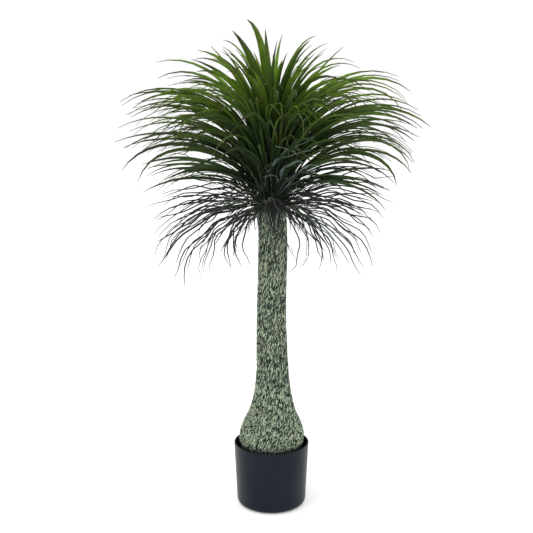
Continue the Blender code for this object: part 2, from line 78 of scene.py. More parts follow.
# Pot: the taper, the wall and the rounded edges of the solid, on many more steps
POT_FOOT_RADIUS = 0.0873
POT_WALL = 0.0030
POT_FLOOR = 0.0040
POT_FOOT_ROUND = 0.014
POT_LIP_ROUND = 0.0012
POT_FOOT_START = -6
POT_STEPS = 160
INSIDE_ROWS = 8
OUTSIDE_ROWS = 96
LIP_ROWS = 5
FOOT_ROWS = 12
MOULD_LINE_HEIGHT = 0.0175
MOULD_LINE_DEPTH = 0.00035
MOULD_LINE_WIDTH = 0.0011

# Soil: a lumpy plug, a little lower than the solid's, with one heap at the front
SOIL_STEPS = 150
SOIL_ROWS = 16
SOIL_DROP = 0.004
SOIL_EDGE_DROP = 0.003
SEAT_ROWS = 6
SEAT_DROP = 0.006
SEAT_CLEARANCE = 0.002
SEAT_OVERLAP = 0.001
COARSE_LUMPS = 0.0045
FINE_LUMPS = 0.0022
FINE_LUMP_SHARE = 0.6
COARSE_SEED, FINE_SEED = 3, 4
HEAP_AZIMUTH = math.radians(-84)
HEAP_HEIGHT = 0.017
HEAP_SPREAD = 0.30
HEAP_START = 0.066
HEAP_RAMP = 0.012

# Crumbs: rings as (radius, height) shares of a crumb's size, and the ranges of their draws
CRUMB_SIDES = 6
CRUMB_RINGS = ((0.0, 1.0), (0.55, 0.7), (1.0, 0.0), (0.6, -0.6), (0.0, -1.0))
CRUMB_SIZE = (0.0012, 0.0034)
CRUMB_STRETCH = (0.6, 2.2)
CRUMB_LUMPINESS = 0.25
CRUMB_FLATNESS = 0.8
CRUMB_LIFT = 0.4
CRUMBS_IN_HEAP = 0.45
HEAP_SCATTER = 0.24
CRUMB_CLEARANCE = (0.002, 0.003)
CRUMB_SEED = 12

# Trunk: (height, radius) down the outside, from the neck under the leaves to the foot in the soil
TRUNK_PROFILE = (
    (TRUNK_TOP, 0.0335),
    (0.700, 0.0341),
    (0.620, 0.0346),
    (0.500, 0.0352),
    (0.400, 0.0376),
    (0.325, 0.0410),
    (0.283, 0.0468),
    (0.241, 0.0580),
    (0.209, 0.0728),
    (0.180, 0.0806),
    (0.158, 0.0785),
    (0.138, 0.0690),
    (0.112, 0.0520),
    (TRUNK_FOOT, 0.0320),
)
TRUNK_ROWS = 236
TRUNK_STEPS = 400
FOOT_ROW_SPACING = 0.55
PROFILE_SAMPLES = 2000
AXIS_RADIUS = 0.001
SWAY = 0.0015
SWAY_START = 0.12
SWAY_PERIOD = 0.36

# Bark: how its ridges lean, shorten towards the foot, wander and gather into rows on the stem.
# Wander noise is a (spacing, seed) pair for each axis.
SWELLING_TOP = 0.31
SWELLING_MARGIN = 0.06
SWELLING_FADE = 0.10
BARK_TWIST = 6.0
BARK_SHORTENING = 1.4
BARK_WANDER = (0.004, 0.012)
WANDER_NOISE = ((0.024, 21), (0.024, 22), (0.018, 23))
NARROW_SPACING = 0.7
NARROW_SHARE = 0.35
STEM_RIDGES = 30
STEM_RIDGE_HEIGHT = 0.24
RIDGE_WAVER = 0.5
RIDGE_WAVER_SPACING = (0.012, 0.012, 0.030)
FURROW_LEVEL = 0.33
RIDGE_RISE = 0.34
BROAD_SEED, NARROW_SEED, WAVER_SEED = 24, 25, 26
# Half the depth of the blend into painted shade on the foot at the pot's rim
FOOT_SHADE_EDGE = 0.008

# Stage: the camera stands in front, level with the leaves, and looks a little down
CAMERA_PLACE = (-0.0125, -1.96, 0.905)
CAMERA_PITCH = -8.6
CAMERA_LENS = 54.3
SENSOR_WIDTH = 36.0
FLOOR_HALF = 40.0
FLOOR_DROP = 0.0002
KEY_PLACE = (-0.9, -0.9, 3.1)
KEY_TURN = (math.radians(22), math.radians(-21), 0.0)
KEY_SIZE = 3.0

# Edges sharper than this many degrees stay sharp
POT_CREASE = 35.0
LEAF_CREASE = 40.0
PLAIN_CREASE = 60.0
BARK_CREASE = 80.0

# Colours that the finishes mix in besides those of the settings
# Painted shade in the soil's grain
SOIL_GRAIN_SHADE = (0.004, 0.004, 0.004)
WARM_BARK = (0.37, 0.36, 0.27)
# Painted shade on the foot below the pot's rim
FOOT_SHADE_BARK = (0.016, 0.018, 0.012)
BLUISH_LEAF = (0.036, 0.075, 0.033)
YELLOWED_LEAF = (0.20, 0.20, 0.04)
LIT_VEIN = (0.21, 0.32, 0.045)
DEEP_LEAF = (0.010, 0.022, 0.006)
BROWNED_LEAF = (0.085, 0.080, 0.022)
SHADED_LEAF = (0.004, 0.012, 0.005)
ROOTED_STRAND = (0.090, 0.108, 0.068)
# Painted shade on strands close to the trunk
STRAND_SHADE = (0.003, 0.005, 0.003)
FLOOR_GRAIN = (0.9, 0.9, 0.9)

# Leaves: each is an arched strap that widens from its root and whose outer part is split into fingers
LEAF_ROWS = 16
STRAND_ROWS = 14
ROW_CROWDING = 1.1
PATH_STEPS = 60
FULL_WIDTH_AT = 0.45
ROOT_TAPER = 0.42
HAIR_WIDTH = 0.0012
FOLD = 0.5
FOLD_AT_MIDDLE = 0.4
KEEL = 0.0011
KEEL_AT_TIP = 0.35
MOST_FINGERS = 4
REACH = (0.82, 1.0)
FAN_SPREAD = (0.5, 1.2)
FINGER_DROOP = 0.03
FINGER_BELLY = 0.4
ROLL_AT_ROOT = 0.35
BEND_STEPS = 7
FULL_KINK_LENGTH = 0.22
KINK_START = 6
SWAY_WAVES = 13
HEAVE_WAVES = 19
LEAF_ATTRIBUTES = ("along", "across", "tone", "rise")

# How leaves that follow a rule climb the core, and how far each strays from the rule
GOLDEN_ANGLE = math.radians(137.508)
FOLLOWS_RISE = ("launch", "tip", "arch", "length", "width", "fingers")
LAUNCH_JITTER = 5.0
DRIFT_JITTER = 12.0
AZIMUTH_JITTER = 0.12
LENGTH_JITTER = 0.09
WIDTH_JITTER = 0.15
FINGER_JITTER = 0.5

# How an aimed leaf is bent and stretched in rounds until its tip is in place
AIM_ROUNDS = 30
AIM_PACE = 0.8
MOST_BEND = math.radians(150)

# Cores that the leaves stand out of, as (low, high) heights, and where the roots are on and in them
SKIRT_CORE = (TRUNK_TOP + GAP, 0.782)
HEAD_CORE = (SKIRT_CORE[1] + GAP, 0.862)
CORE_STEPS = 48
ROOT_SPAN = (0.16, 0.84)
ROOT_DEPTH = 0.80


class AimedLeaf(NamedTuple):
    """A leaf of the outline, aimed by where its tip shows.

    tip_x and tip_z place the tip, as the viewer sees it, on the upright plane through the pot's axis.
    Its root stands as far round the core from its azimuth as its swing. Angles are in degrees.
    """

    tip_x: float
    tip_z: float
    azimuth: float
    launch: float
    arch: float
    width: float
    fingers: int
    swing: float = 0.0


def aimed(*rows):
    """The rows of a table as aimed leaves, their values in the order above."""
    return tuple(AimedLeaf(*row) for row in rows)


# Left side from the top, then the crown from left to right, the right side from the top, and the front
AIMED_LEAVES = aimed(
    (-0.274, 1.098, 172, 75, 1.9, 0.018, 1),
    (-0.272, 1.063, -170, 77, 1.8, 0.018, 1),
    (-0.341, 1.022, 176, 66, 1.3, 0.015, 1),
    (-0.361, 1.001, -176, 66, 1.6, 0.022, 2),
    (-0.346, 0.979, 168, 64, 1.4, 0.022, 2),
    (-0.337, 0.970, -166, 64, 1.4, 0.015, 1),
    (-0.371, 0.942, 178, 57, 1.2, 0.022, 2),
    (-0.280, 0.915, -145, 62, 1.6, 0.013, 1),
    (-0.377, 0.909, -174, 48, 1.1, 0.022, 2),
    (-0.355, 0.896, 170, 51, 1.2, 0.015, 1),
    (-0.313, 0.894, -160, 54, 1.2, 0.022, 2),
    (-0.365, 0.843, -178, 40, 1.7, 0.018, 1),
    (-0.324, 0.816, -164, 38, 2.0, 0.016, 1),
    (-0.315, 0.857, 166, 30, 1.5, 0.014, 1),
    (-0.300, 0.849, -172, 30, 1.2, 0.014, 1),
    (-0.304, 0.835, -156, 30, 1.6, 0.022, 2),
    (-0.262, 0.820, -145, 26, 1.6, 0.013, 1),
    (-0.314, 0.789, 176, 16, 1.8, 0.015, 1),
    (-0.178, 1.077, -135, 77, 1.8, 0.020, 1),
    (-0.193, 1.039, -145, 77, 1.9, 0.018, 1),
    (-0.192, 1.105, -150, 81, 1.5, 0.020, 1),
    (-0.182, 1.106, 145, 82, 1.8, 0.018, 1),
    (-0.175, 1.127, 150, 83, 1.7, 0.020, 1),
    (-0.141, 1.139, -148, 82, 1.4, 0.024, 2),
    (-0.116, 1.136, -135, 84, 2.0, 0.020, 1),
    (-0.115, 1.150, 128, 84, 2.0, 0.022, 1),
    (-0.093, 1.171, -122, 86, 1.8, 0.027, 1),
    (-0.058, 1.195, -112, 90, 2.8, 0.026, 1),
    (-0.015, 1.175, -98, 89, 2.0, 0.022, 1),
    (0.026, 1.164, 72, 90, 2.0, 0.020, 1),
    (0.103, 1.160, 48, 87, 2.2, 0.020, 1),
    (0.089, 1.149, -50, 88, 2.2, 0.018, 1),
    (0.127, 1.145, 38, 86, 2.0, 0.022, 2),
    (0.171, 1.134, -30, 79, 1.3, 0.020, 1),
    (0.209, 1.088, 26, 82, 2.0, 0.020, 2),
    (0.172, 1.051, -35, 83, 2.2, 0.018, 1),
    (0.220, 1.041, -15, 79, 2.2, 0.018, 1),
    (0.210, 0.979, -30, 79, 2.0, 0.018, 1),
    (0.305, 1.057, 8, 74, 1.6, 0.022, 2),
    (0.332, 1.031, -6, 72, 1.7, 0.020, 1),
    (0.323, 1.008, 15, 74, 1.5, 0.022, 2),
    (0.350, 0.985, -2, 60, 1.7, 0.022, 2),
    (0.316, 0.982, -14, 68, 2.0, 0.015, 1),
    (0.382, 0.947, 4, 58, 1.5, 0.018, 1),
    (0.365, 0.945, -8, 59, 1.6, 0.022, 2),
    (0.349, 0.943, 12, 60, 1.3, 0.015, 1),
    (0.357, 0.927, -15, 55, 1.3, 0.022, 2),
    (0.344, 0.915, 18, 54, 1.3, 0.015, 1),
    (0.341, 0.862, 0, 50, 1.4, 0.015, 1),
    (0.340, 0.837, -10, 40, 2.4, 0.022, 2),
    (0.338, 0.836, 10, 34, 2.0, 0.015, 1),
    (0.304, 0.808, -22, 34, 2.4, 0.018, 1),
    (0.318, 0.893, 24, 56, 1.3, 0.015, 1),
    (0.287, 0.790, -4, 16, 1.8, 0.022, 2),
    (0.291, 0.843, 14, 22, 1.4, 0.014, 1),
    (0.280, 0.746, -12, 20, 1.4, 0.014, 1),
    (-0.105, 0.925, -115, 60, 2.0, 0.016, 1),
    (-0.204, 0.905, -132, 52, 1.9, 0.016, 1),
    (-0.229, 0.927, -142, 66, 1.8, 0.016, 1),
    (-0.136, 0.973, -120, 68, 1.8, 0.015, 1),
    (-0.253, 0.981, -155, 72, 1.6, 0.015, 1),
    (0.159, 0.964, -50, 75, 1.8, 0.016, 1),
    (0.110, 0.964, -62, 76, 1.6, 0.015, 1),
)

# Dry strands of the outline: left side from the top, then the right side from the top
AIMED_STRANDS = aimed(
    (-0.304, 0.748, 176, 14, 1.2, 0.012, 2),
    (-0.287, 0.726, -172, 12, 1.4, 0.011, 2),
    (-0.291, 0.687, 168, 8, 1.4, 0.011, 2),
    (-0.274, 0.667, -178, 4, 1.3, 0.012, 2),
    (-0.292, 0.632, 174, 0, 1.3, 0.011, 2),
    (-0.265, 0.625, -164, 2, 1.5, 0.012, 2),
    (-0.273, 0.605, -175, -4, 1.3, 0.010, 1),
    (-0.238, 0.617, 160, -4, 1.4, 0.012, 2),
    (-0.211, 0.597, -168, -10, 1.3, 0.012, 2),
    (-0.222, 0.555, 178, -14, 1.3, 0.012, 2),
    (-0.174, 0.587, -158, -14, 1.4, 0.011, 2),
    (-0.147, 0.597, 158, -16, 1.4, 0.011, 2),
    (-0.100, 0.610, -148, -14, 1.5, 0.010, 2),
    (-0.075, 0.607, 140, -18, 1.4, 0.010, 2),
    (-0.051, 0.610, -125, -14, 1.5, 0.008, 1),
    (0.303, 0.772, 4, 24, 1.2, 0.012, 2),
    (0.277, 0.731, -10, 18, 1.4, 0.012, 2),
    (0.248, 0.721, 12, 12, 1.4, 0.011, 2),
    (0.241, 0.699, -4, 8, 1.3, 0.012, 2),
    (0.249, 0.677, 16, 4, 1.3, 0.011, 2),
    (0.254, 0.642, -14, 0, 1.4, 0.012, 2),
    (0.245, 0.607, 2, -6, 1.3, 0.012, 2),
    (0.213, 0.582, -8, -14, 1.2, 0.012, 2),
    (0.162, 0.590, 14, -18, 1.3, 0.012, 2),
    (0.124, 0.602, -24, -20, 1.4, 0.011, 2),
    (0.070, 0.602, 35, -24, 1.5, 0.009, 2),
    (0.041, 0.597, -50, -24, 1.5, 0.004, 1),
)

# More narrow leaves at the left, then short ones in front that hook over or end bluntly
FRONT_LEAVES = aimed(
    (-0.332, 0.992, 172, 68, 1.5, 0.014, 1),
    (-0.314, 1.012, 179, 70, 1.5, 0.018, 2),
    (-0.300, 0.984, -168, 68, 1.5, 0.018, 2),
    (-0.276, 1.000, 165, 71, 1.6, 0.018, 2),
    (-0.286, 1.013, -160, 73, 1.6, 0.014, 1),
    (-0.262, 0.955, -165, 64, 1.6, 0.014, 1),
    (-0.215, 0.955, -150, 66, 1.7, 0.014, 1),
    (-0.268, 0.969, -158, 68, 1.5, 0.014, 1),
    (-0.201, 0.933, -140, 66, 2.2, 0.009, 1),
    (-0.105, 0.921, -125, 72, 1.8, 0.009, 1),
    (-0.066, 0.985, -120, 84, 3.0, 0.010, 1),
    (-0.032, 0.914, -115, 80, 1.2, 0.015, 1),
    (0.006, 1.020, -82, 88, 1.5, 0.022, 1),
    (0.028, 0.919, -65, 90, 4.0, 0.009, 1),
    (0.036, 1.018, -65, 90, 4.0, 0.022, 1),
    (0.061, 0.874, -58, 84, 2.2, 0.009, 1),
    (0.135, 0.960, -45, 76, 2.0, 0.009, 1),
    (0.080, 1.010, -60, 84, 1.6, 0.018, 1),
)

# Loose strands that stand up among the leaf bases in front
STRAY_STRANDS = aimed(
    (0.008, 0.869, -82, 84, 1.0, 0.008, 1, -60),
    (0.013, 0.898, -85, 84, 1.0, 0.004, 1, -75),
    (0.078, 0.859, -62, 80, 1.0, 0.009, 1, 10),
    (0.102, 0.917, -55, 72, 1.0, 0.003, 1, 40),
    (0.092, 0.888, -58, 70, 1.2, 0.003, 1, 50),
    (0.118, 0.860, -48, 58, 1.2, 0.004, 1, 0),
    (-0.023, 0.830, -100, 76, 1.0, 0.004, 1, -30),
    (-0.048, 0.840, -112, 70, 1.0, 0.003, 1, 20),
)

# Dark strands under the lowest leaves: at the left, then at the right
SIDE_STRANDS = aimed(
    (-0.256, 0.880, -158, 48, 1.1, 0.005, 1),
    (-0.262, 0.783, 178, 24, 1.1, 0.006, 1),
    (-0.250, 0.771, -170, 12, 1.1, 0.006, 1),
    (0.228, 0.851, -16, 40, 1.1, 0.006, 1),
    (0.300, 0.820, 6, 34, 1.1, 0.006, 1),
)


class Habit(NamedTuple):
    """How leaves of one kind grow. Sizes are in metres and angles in degrees.

    Fingers part at the split, a share of the length, and fan out by an angle. The taper is the power by
    which they narrow. A leaf rolls about its own line within a range, kinks all along it and strays
    unevenly at a few places. Its end angle is jittered, and it is lifted where it leans to the viewer.
    """

    split: float
    fan: float
    taper: float
    roll: tuple
    kink: float
    unevenness: float
    tip_jitter: float
    front_lift: float


GREEN = Habit(
    split=0.45, fan=5.0, taper=0.85, roll=(26, 52), kink=0.0, unevenness=0.0015, tip_jitter=14.0,
    front_lift=28.0,
)
DRY = Habit(
    split=0.10, fan=9.0, taper=0.5, roll=(30, 60), kink=0.0034, unevenness=0.0075, tip_jitter=20.0,
    front_lift=0.0,
)


class LeafGroup(NamedTuple):
    """A group of like leaves: the aimed ones, then a number of others that follow a rule.

    rise lists shares of the climb from the lowest leaf, 0, to the highest, 1, and each tuple under it holds
    the value there. launch and tip are the angles at which a leaf leaves the core and ends, in degrees.
    tones is the range of the tones that the leaves' finish reads.
    """

    aimed: tuple
    count: int
    seed: int
    core: tuple
    core_radii: tuple
    rise: tuple
    launch: tuple
    tip: tuple
    arch: tuple
    length: tuple
    width: tuple
    fingers: tuple
    habit: Habit
    tones: tuple = (0.0, 1.0)


LEAF_HEAD = LeafGroup(
    aimed=AIMED_LEAVES, count=62, seed=14, core=HEAD_CORE, core_radii=(0.035, 0.015),
    rise=(0.0, 0.12, 0.25, 0.45, 0.65, 0.80, 0.90, 1.0),
    launch=(20, 30, 42, 57, 68, 77, 83, 88),
    tip=(-30, -35, -50, -38, -35, -15, 20, 45),
    arch=(1.6, 1.5, 1.8, 1.4, 1.5, 1.7, 1.8, 2.6),
    length=(0.26, 0.30, 0.35, 0.39, 0.39, 0.345, 0.31, 0.265),
    width=(0.012, 0.012, 0.013, 0.014, 0.016, 0.018, 0.021, 0.024),
    fingers=(1.4, 1.5, 1.6, 1.8, 1.7, 1.3, 1.0, 1.0),
    habit=GREEN,
)
DRY_SKIRT = LeafGroup(
    aimed=AIMED_STRANDS, count=24, seed=37, core=SKIRT_CORE, core_radii=(0.0370, 0.0365),
    rise=(0.0, 0.35, 0.7, 1.0),
    launch=(-24, 0, 16, 28),
    tip=(-74, -56, -34, -10),
    arch=(1.4, 1.3, 1.2, 1.2),
    length=(0.180, 0.240, 0.270, 0.260),
    width=(0.010, 0.011, 0.011, 0.011),
    fingers=(2.0, 2.0, 2.0, 2.0),
    habit=DRY,
)
INNER_LEAVES = LEAF_HEAD._replace(
    aimed=(), count=130, seed=5, width=(0.008, 0.008, 0.009, 0.009, 0.011, 0.013, 0.015, 0.016),
    length=(0.24, 0.28, 0.33, 0.37, 0.37, 0.33, 0.30, 0.285),
)
LOOSE_LEAVES = LEAF_HEAD._replace(aimed=FRONT_LEAVES, count=0, seed=5, tones=(0.55, 1.0))
NECK_LEAVES = LeafGroup(
    aimed=(), count=90, seed=9, core=(TRUNK_TOP - 0.004, 0.810), core_radii=(0.0475, 0.0450),
    rise=(0.0, 0.5, 1.0),
    launch=(48, 64, 76),
    tip=(-10, 0, 10),
    arch=(1.6, 1.6, 1.6),
    length=(0.15, 0.24, 0.30),
    width=(0.006, 0.007, 0.008),
    fingers=(0.0, 0.0, 0.0),
    habit=GREEN,
)
INNER_STRANDS = DRY_SKIRT._replace(aimed=SIDE_STRANDS, count=6, seed=8, launch=(-34, -16, -4, 6))
LOOSE_STRANDS = DRY_SKIRT._replace(aimed=STRAY_STRANDS, count=0, seed=8, tones=(0.94, 1.0))
NECK_STRANDS = LeafGroup(
    aimed=(), count=90, seed=21, core=(TRUNK_TOP - 0.006, 0.800), core_radii=(0.0475, 0.0450),
    rise=(0.0, 0.5, 1.0),
    launch=(-40, -5, 60),
    tip=(-88, -60, -20),
    arch=(1.0, 1.0, 1.0),
    length=(0.06, 0.10, 0.12),
    width=(0.004, 0.005, 0.005),
    fingers=(1.4, 1.4, 1.4),
    habit=DRY,
)


# Settings that a user would change


def length_value(name, description, default):
    return FloatProperty(name=name, description=description, default=default, unit="LENGTH")


def colour_value(name, description, default):
    return FloatVectorProperty(
        name=name, description=description, default=default, subtype="COLOR", min=0, max=1,
    )


class PotSettings(PropertyGroup):
    lip: length_value("Lip rounding", "Radius of the rounded lip", POT_LIP_ROUND)
    colour: colour_value("Pot colour", "Colour of the plastic", (0.0020, 0.0051, 0.0115))
    worn_colour: colour_value("Worn colour", "Colour of the dulled, dusty places", (0.0060, 0.0095, 0.0160))


class SoilSettings(PropertyGroup):
    lump: length_value("Lumps", "Height of the lumps of the soil", 0.0016)
    crumbs: IntProperty(name="Crumbs", description="Number of loose crumbs and scraps", default=260, min=0)
    colour: colour_value("Soil colour", "Colour of the damp soil", (0.015, 0.0135, 0.012))
    scrap_colour: colour_value("Scrap colour", "Colour of dry scraps in the soil", (0.075, 0.060, 0.045))


class TrunkSettings(PropertyGroup):
    relief: length_value("Bark relief", "Height of the bark's ridges over its furrows", 0.0030)
    ridge_spacing: length_value("Ridge spacing", "Distance between ridges around the stem", 0.0019)
    ridge_length: length_value("Ridge length", "Distance between breaks along a ridge", 0.0085)
    ridge_colour: colour_value("Ridge colour", "Pale grey green of the corky ridges", (0.455, 0.56, 0.385))
    bark_colour: colour_value("Bark colour", "Colour between ridge and furrow", (0.113, 0.155, 0.105))
    furrow_colour: colour_value("Furrow colour", "Dark grey of the furrows", (0.009, 0.0135, 0.012))


class LeafSettings(PropertyGroup):
    inner_count: IntProperty(
        name="Extra leaves", description="Number of narrower leaves between the main ones",
        default=INNER_LEAVES.count, min=0,
    )
    # The young and old greens also hold painted light at the top of the head and painted shade at its
    # bottom
    lit_young_colour: colour_value("Young colour", "Bright green of the highest leaves", (0.135, 0.270, 0.010))
    full_colour: colour_value("Full colour", "Green of the leaves of the middle", (0.066, 0.130, 0.012))
    shaded_old_colour: colour_value("Old colour", "Dark green of the lowest leaves", (0.037, 0.070, 0.027))
    tip_colour: colour_value("Tip colour", "Brown of the dried tips", (0.040, 0.034, 0.018))


class SkirtSettings(PropertyGroup):
    inner_count: IntProperty(
        name="Extra strands", description="Number of thinner strands between the main ones",
        default=INNER_STRANDS.count, min=0,
    )
    colour: colour_value("Strand colour", "Near black of most dead strands", (0.009, 0.010, 0.0115))
    green_colour: colour_value("Green colour", "Dark green left in some strands", (0.015, 0.021, 0.014))
    pale_colour: colour_value(
        "Pale colour", "Pale blue green of the few bleached strands", (0.23, 0.30, 0.27),
    )


class StageSettings(PropertyGroup):
    floor_colour: colour_value("Floor colour", "Colour of the studio floor", (0.93, 0.93, 0.93))
    floor_glow: FloatProperty(
        name="Floor glow", description="Strength of the light panel under the floor", default=0.25, min=0,
    )
    surround: FloatProperty(
        name="Surround", description="Strength of the white surround", default=1.01, min=0,
    )
    key_power: FloatProperty(
        name="Key light", description="Power of the soft light from above", default=34.0, unit="POWER",
    )


class YuccaSettings(PropertyGroup):
    pot: PointerProperty(type=PotSettings)
    soil: PointerProperty(type=SoilSettings)
    trunk: PointerProperty(type=TrunkSettings)
    leaves: PointerProperty(type=LeafSettings)
    skirt: PointerProperty(type=SkirtSettings)
    stage: PointerProperty(type=StageSettings)


# Materials: shader maths written as Python expressions


def maths_method(operation, swapped=False):
    """A method that adds a Math node for an operator, with the wire on its right if swapped."""

    def apply(self, other):
        values = (other, self) if swapped else (self, other)
        return self.maths(operation, *values)

    return apply


class Wire:
    """One output socket of a finish. Operators on it add Math nodes to the same finish."""

    def __init__(self, finish, socket):
        self.finish = finish
        self.socket = socket

    def maths(self, operation, *values, clamp=False):
        settings = {"operation": operation, "use_clamp": clamp}
        return self.finish.node("ShaderNodeMath", settings, dict(enumerate(values)))

    __add__ = maths_method("ADD")
    __radd__ = maths_method("ADD", swapped=True)
    __sub__ = maths_method("SUBTRACT")
    __rsub__ = maths_method("SUBTRACT", swapped=True)
    __mul__ = maths_method("MULTIPLY")
    __rmul__ = maths_method("MULTIPLY", swapped=True)
    __pow__ = maths_method("POWER")

    def clamped(self):
        """The value held between 0 and 1."""
        return self.maths("ADD", self, 0.0, clamp=True)

    def sine(self):
        return self.maths("SINE", self)

    def step(self, low, high):
        """Rises smoothly from 0 at low to 1 at high."""
        settings = {"interpolation_type": "SMOOTHSTEP"}
        inputs = {"Value": self, "From Min": low, "From Max": high}
        return self.finish.node("ShaderNodeMapRange", settings, inputs)


class Finish:
    """A material under construction: a Principled surface and the nodes that feed it."""

    def __init__(self, name):
        self.material = bpy.data.materials.new(name)
        self.material.use_nodes = True
        self.tree = self.material.node_tree
        self.tree.nodes.clear()

    def node(self, kind, settings=None, inputs=None, output=0):
        """Adds a node: its settings first, a ramp's stops among them, then its sockets' values or links."""
        made = self.tree.nodes.new(kind)
        for name, value in (settings or {}).items():
            if name == "stops":
                self.set_stops(made.color_ramp, value)
            else:
                setattr(made, name, value)
        for key, value in (inputs or {}).items():
            if isinstance(value, Wire):
                self.tree.links.new(value.socket, made.inputs[key])
            else:
                made.inputs[key].default_value = value
        return None if output is None else Wire(self, made.outputs[output])

    @staticmethod
    def set_stops(ramp, stops):
        while len(ramp.elements) < len(stops):
            ramp.elements.new(1.0)
        for element, (place, colour) in zip(ramp.elements, stops):
            element.position = place
            element.color = (*colour, 1.0)

    def object_coordinates(self):
        return self.node("ShaderNodeTexCoord", output="Object")

    def stretched(self, vector, scale):
        """The vector with each of its axes scaled."""
        return self.node("ShaderNodeMapping", None, {"Vector": vector, "Scale": scale})

    def coordinate(self, axis, vector):
        """The X, Y or Z of a vector."""
        return self.node("ShaderNodeSeparateXYZ", None, {"Vector": vector}, output=axis)

    def from_axis(self, vector):
        """Distance of a place from the plant's upright axis."""
        x = self.coordinate("X", vector)
        y = self.coordinate("Y", vector)
        return (x * x + y * y) ** 0.5

    def attribute(self, name):
        return self.node("ShaderNodeAttribute", {"attribute_name": name}, output="Fac")

    def noise(self, vector, scale, detail=2.0):
        inputs = {"Vector": vector, "Scale": scale, "Detail": detail}
        return self.node("ShaderNodeTexNoise", None, inputs)

    def ramp(self, value, stops):
        """A colour that follows the value through the (place, colour) stops."""
        return self.node("ShaderNodeValToRGB", {"stops": stops}, {"Fac": value})

    def blend(self, share, first, second):
        """The first colour turned into the second by the share."""
        colours = [c if isinstance(c, Wire) else (*c, 1.0) for c in (first, second)]
        inputs = {0: share, 6: colours[0], 7: colours[1]}
        return self.node("ShaderNodeMix", {"data_type": "RGBA"}, inputs, output=2)

    def bump(self, height, distance, strength):
        inputs = {"Height": height, "Distance": distance, "Strength": strength}
        return self.node("ShaderNodeBump", None, inputs)

    def surface(self, **inputs):
        """Closes the material with a Principled surface. Names have spaces for underscores."""
        named = {name.replace("_", " "): value for name, value in inputs.items()}
        shader = self.node("ShaderNodeBsdfPrincipled", None, named)
        self.node("ShaderNodeOutputMaterial", None, {"Surface": shader}, output=None)
        return self.material


def pot_plastic(settings):
    """Satin black plastic: clouded by dust, with fine pores and faint rub marks round the pot."""
    made = Finish("pot_plastic")
    place = made.object_coordinates()
    clouds = made.noise(place, scale=14.0, detail=4.0)
    rubs = made.noise(made.stretched(place, (6.0, 6.0, 140.0)), scale=4.0, detail=3.0)
    pores = made.noise(place, scale=900.0)
    dust = (clouds.step(0.45, 0.8) * 0.5 + rubs.step(0.55, 0.8) * 0.35).clamped()
    return made.surface(
        Base_Color=made.blend(dust, settings.colour, settings.worn_colour),
        Roughness=0.34 + 0.16 * dust + 0.05 * pores,
        Specular_IOR_Level=0.17,
        Normal=made.bump(0.7 * pores + 0.6 * rubs, distance=0.00012, strength=0.5),
    )


def damp_soil(settings):
    """Near black crumbly soil with fibres and a few brown scraps, flecked with painted shade in its grain.
    """
    made = Finish("damp_soil")
    place = made.object_coordinates()
    grain = made.noise(place, scale=420.0, detail=3.0)
    patches = made.noise(place, scale=90.0)
    share = (made.attribute("scrap") * 0.9 + patches.step(0.55, 0.75) * 0.25).clamped()
    colour = made.blend(share, settings.colour, settings.scrap_colour)
    return made.surface(
        # Painted shade: near black specks where the soil's grain is high
        Base_Color=made.blend(grain.step(0.35, 0.7), colour, SOIL_GRAIN_SHADE),
        Roughness=0.95,
        Normal=made.bump(grain, distance=0.0012, strength=0.9),
    )


def corky_bark(settings):
    """Pale corky ridges over dark furrows, and painted shade on the foot below the pot's rim, where it
    meets the soil.

    The mesh's own relief sets the broad pattern. Fine upright strokes break it up on the stem, and
    finer curled marks on the swollen foot. Both lean to the right as they climb.
    """
    made = Finish("corky_bark")
    place = made.object_coordinates()
    relief = made.attribute("relief")
    z = made.coordinate("Z", place)
    stem = z.step(0.25, 0.35)
    leaning = made.node(
        "ShaderNodeVectorRotate", {"rotation_type": "Z_AXIS"}, {"Vector": place, "Angle": z * -BARK_TWIST},
    )
    strokes = made.noise(made.stretched(leaning, (1.0, 1.0, 0.17)), scale=520.0, detail=1.0)
    curls = made.noise(made.stretched(leaning, (1.0, 1.0, 0.22)), scale=370.0, detail=1.0)
    patches = made.noise(place, scale=26.0, detail=3.0)
    fine = 4.0 * (strokes - 0.5) * stem + 6.8 * (curls - 0.5) * (1.0 - stem)
    coarse = (0.50 - 0.24 * stem) * (relief - 0.5) + 0.50 * (patches - 0.5)
    height = 0.47 - 0.09 * stem + coarse + fine
    furrow, bark, ridge = settings.furrow_colour, settings.bark_colour, settings.ridge_colour
    pattern = made.ramp(height, [(0.34, furrow), (0.50, bark), (0.74, ridge), (1.0, ridge)])
    warm = made.blend(patches.step(0.5, 0.75) * 0.5, pattern, WARM_BARK)
    clean = made.blend(height.step(0.3, 0.5), pattern, warm)
    # Painted shade: below the pot's rim the foot turns dark, along a line made uneven by noise
    shade_line = z + 0.010 * (patches - 0.5)
    foot_shade = (1.0 - shade_line.step(POT_HEIGHT - FOOT_SHADE_EDGE, POT_HEIGHT + FOOT_SHADE_EDGE)) * 0.8
    return made.surface(
        Base_Color=made.blend(foot_shade, clean, FOOT_SHADE_BARK),
        Roughness=0.90,
        Normal=made.bump(height, distance=0.0016, strength=0.8),
    )


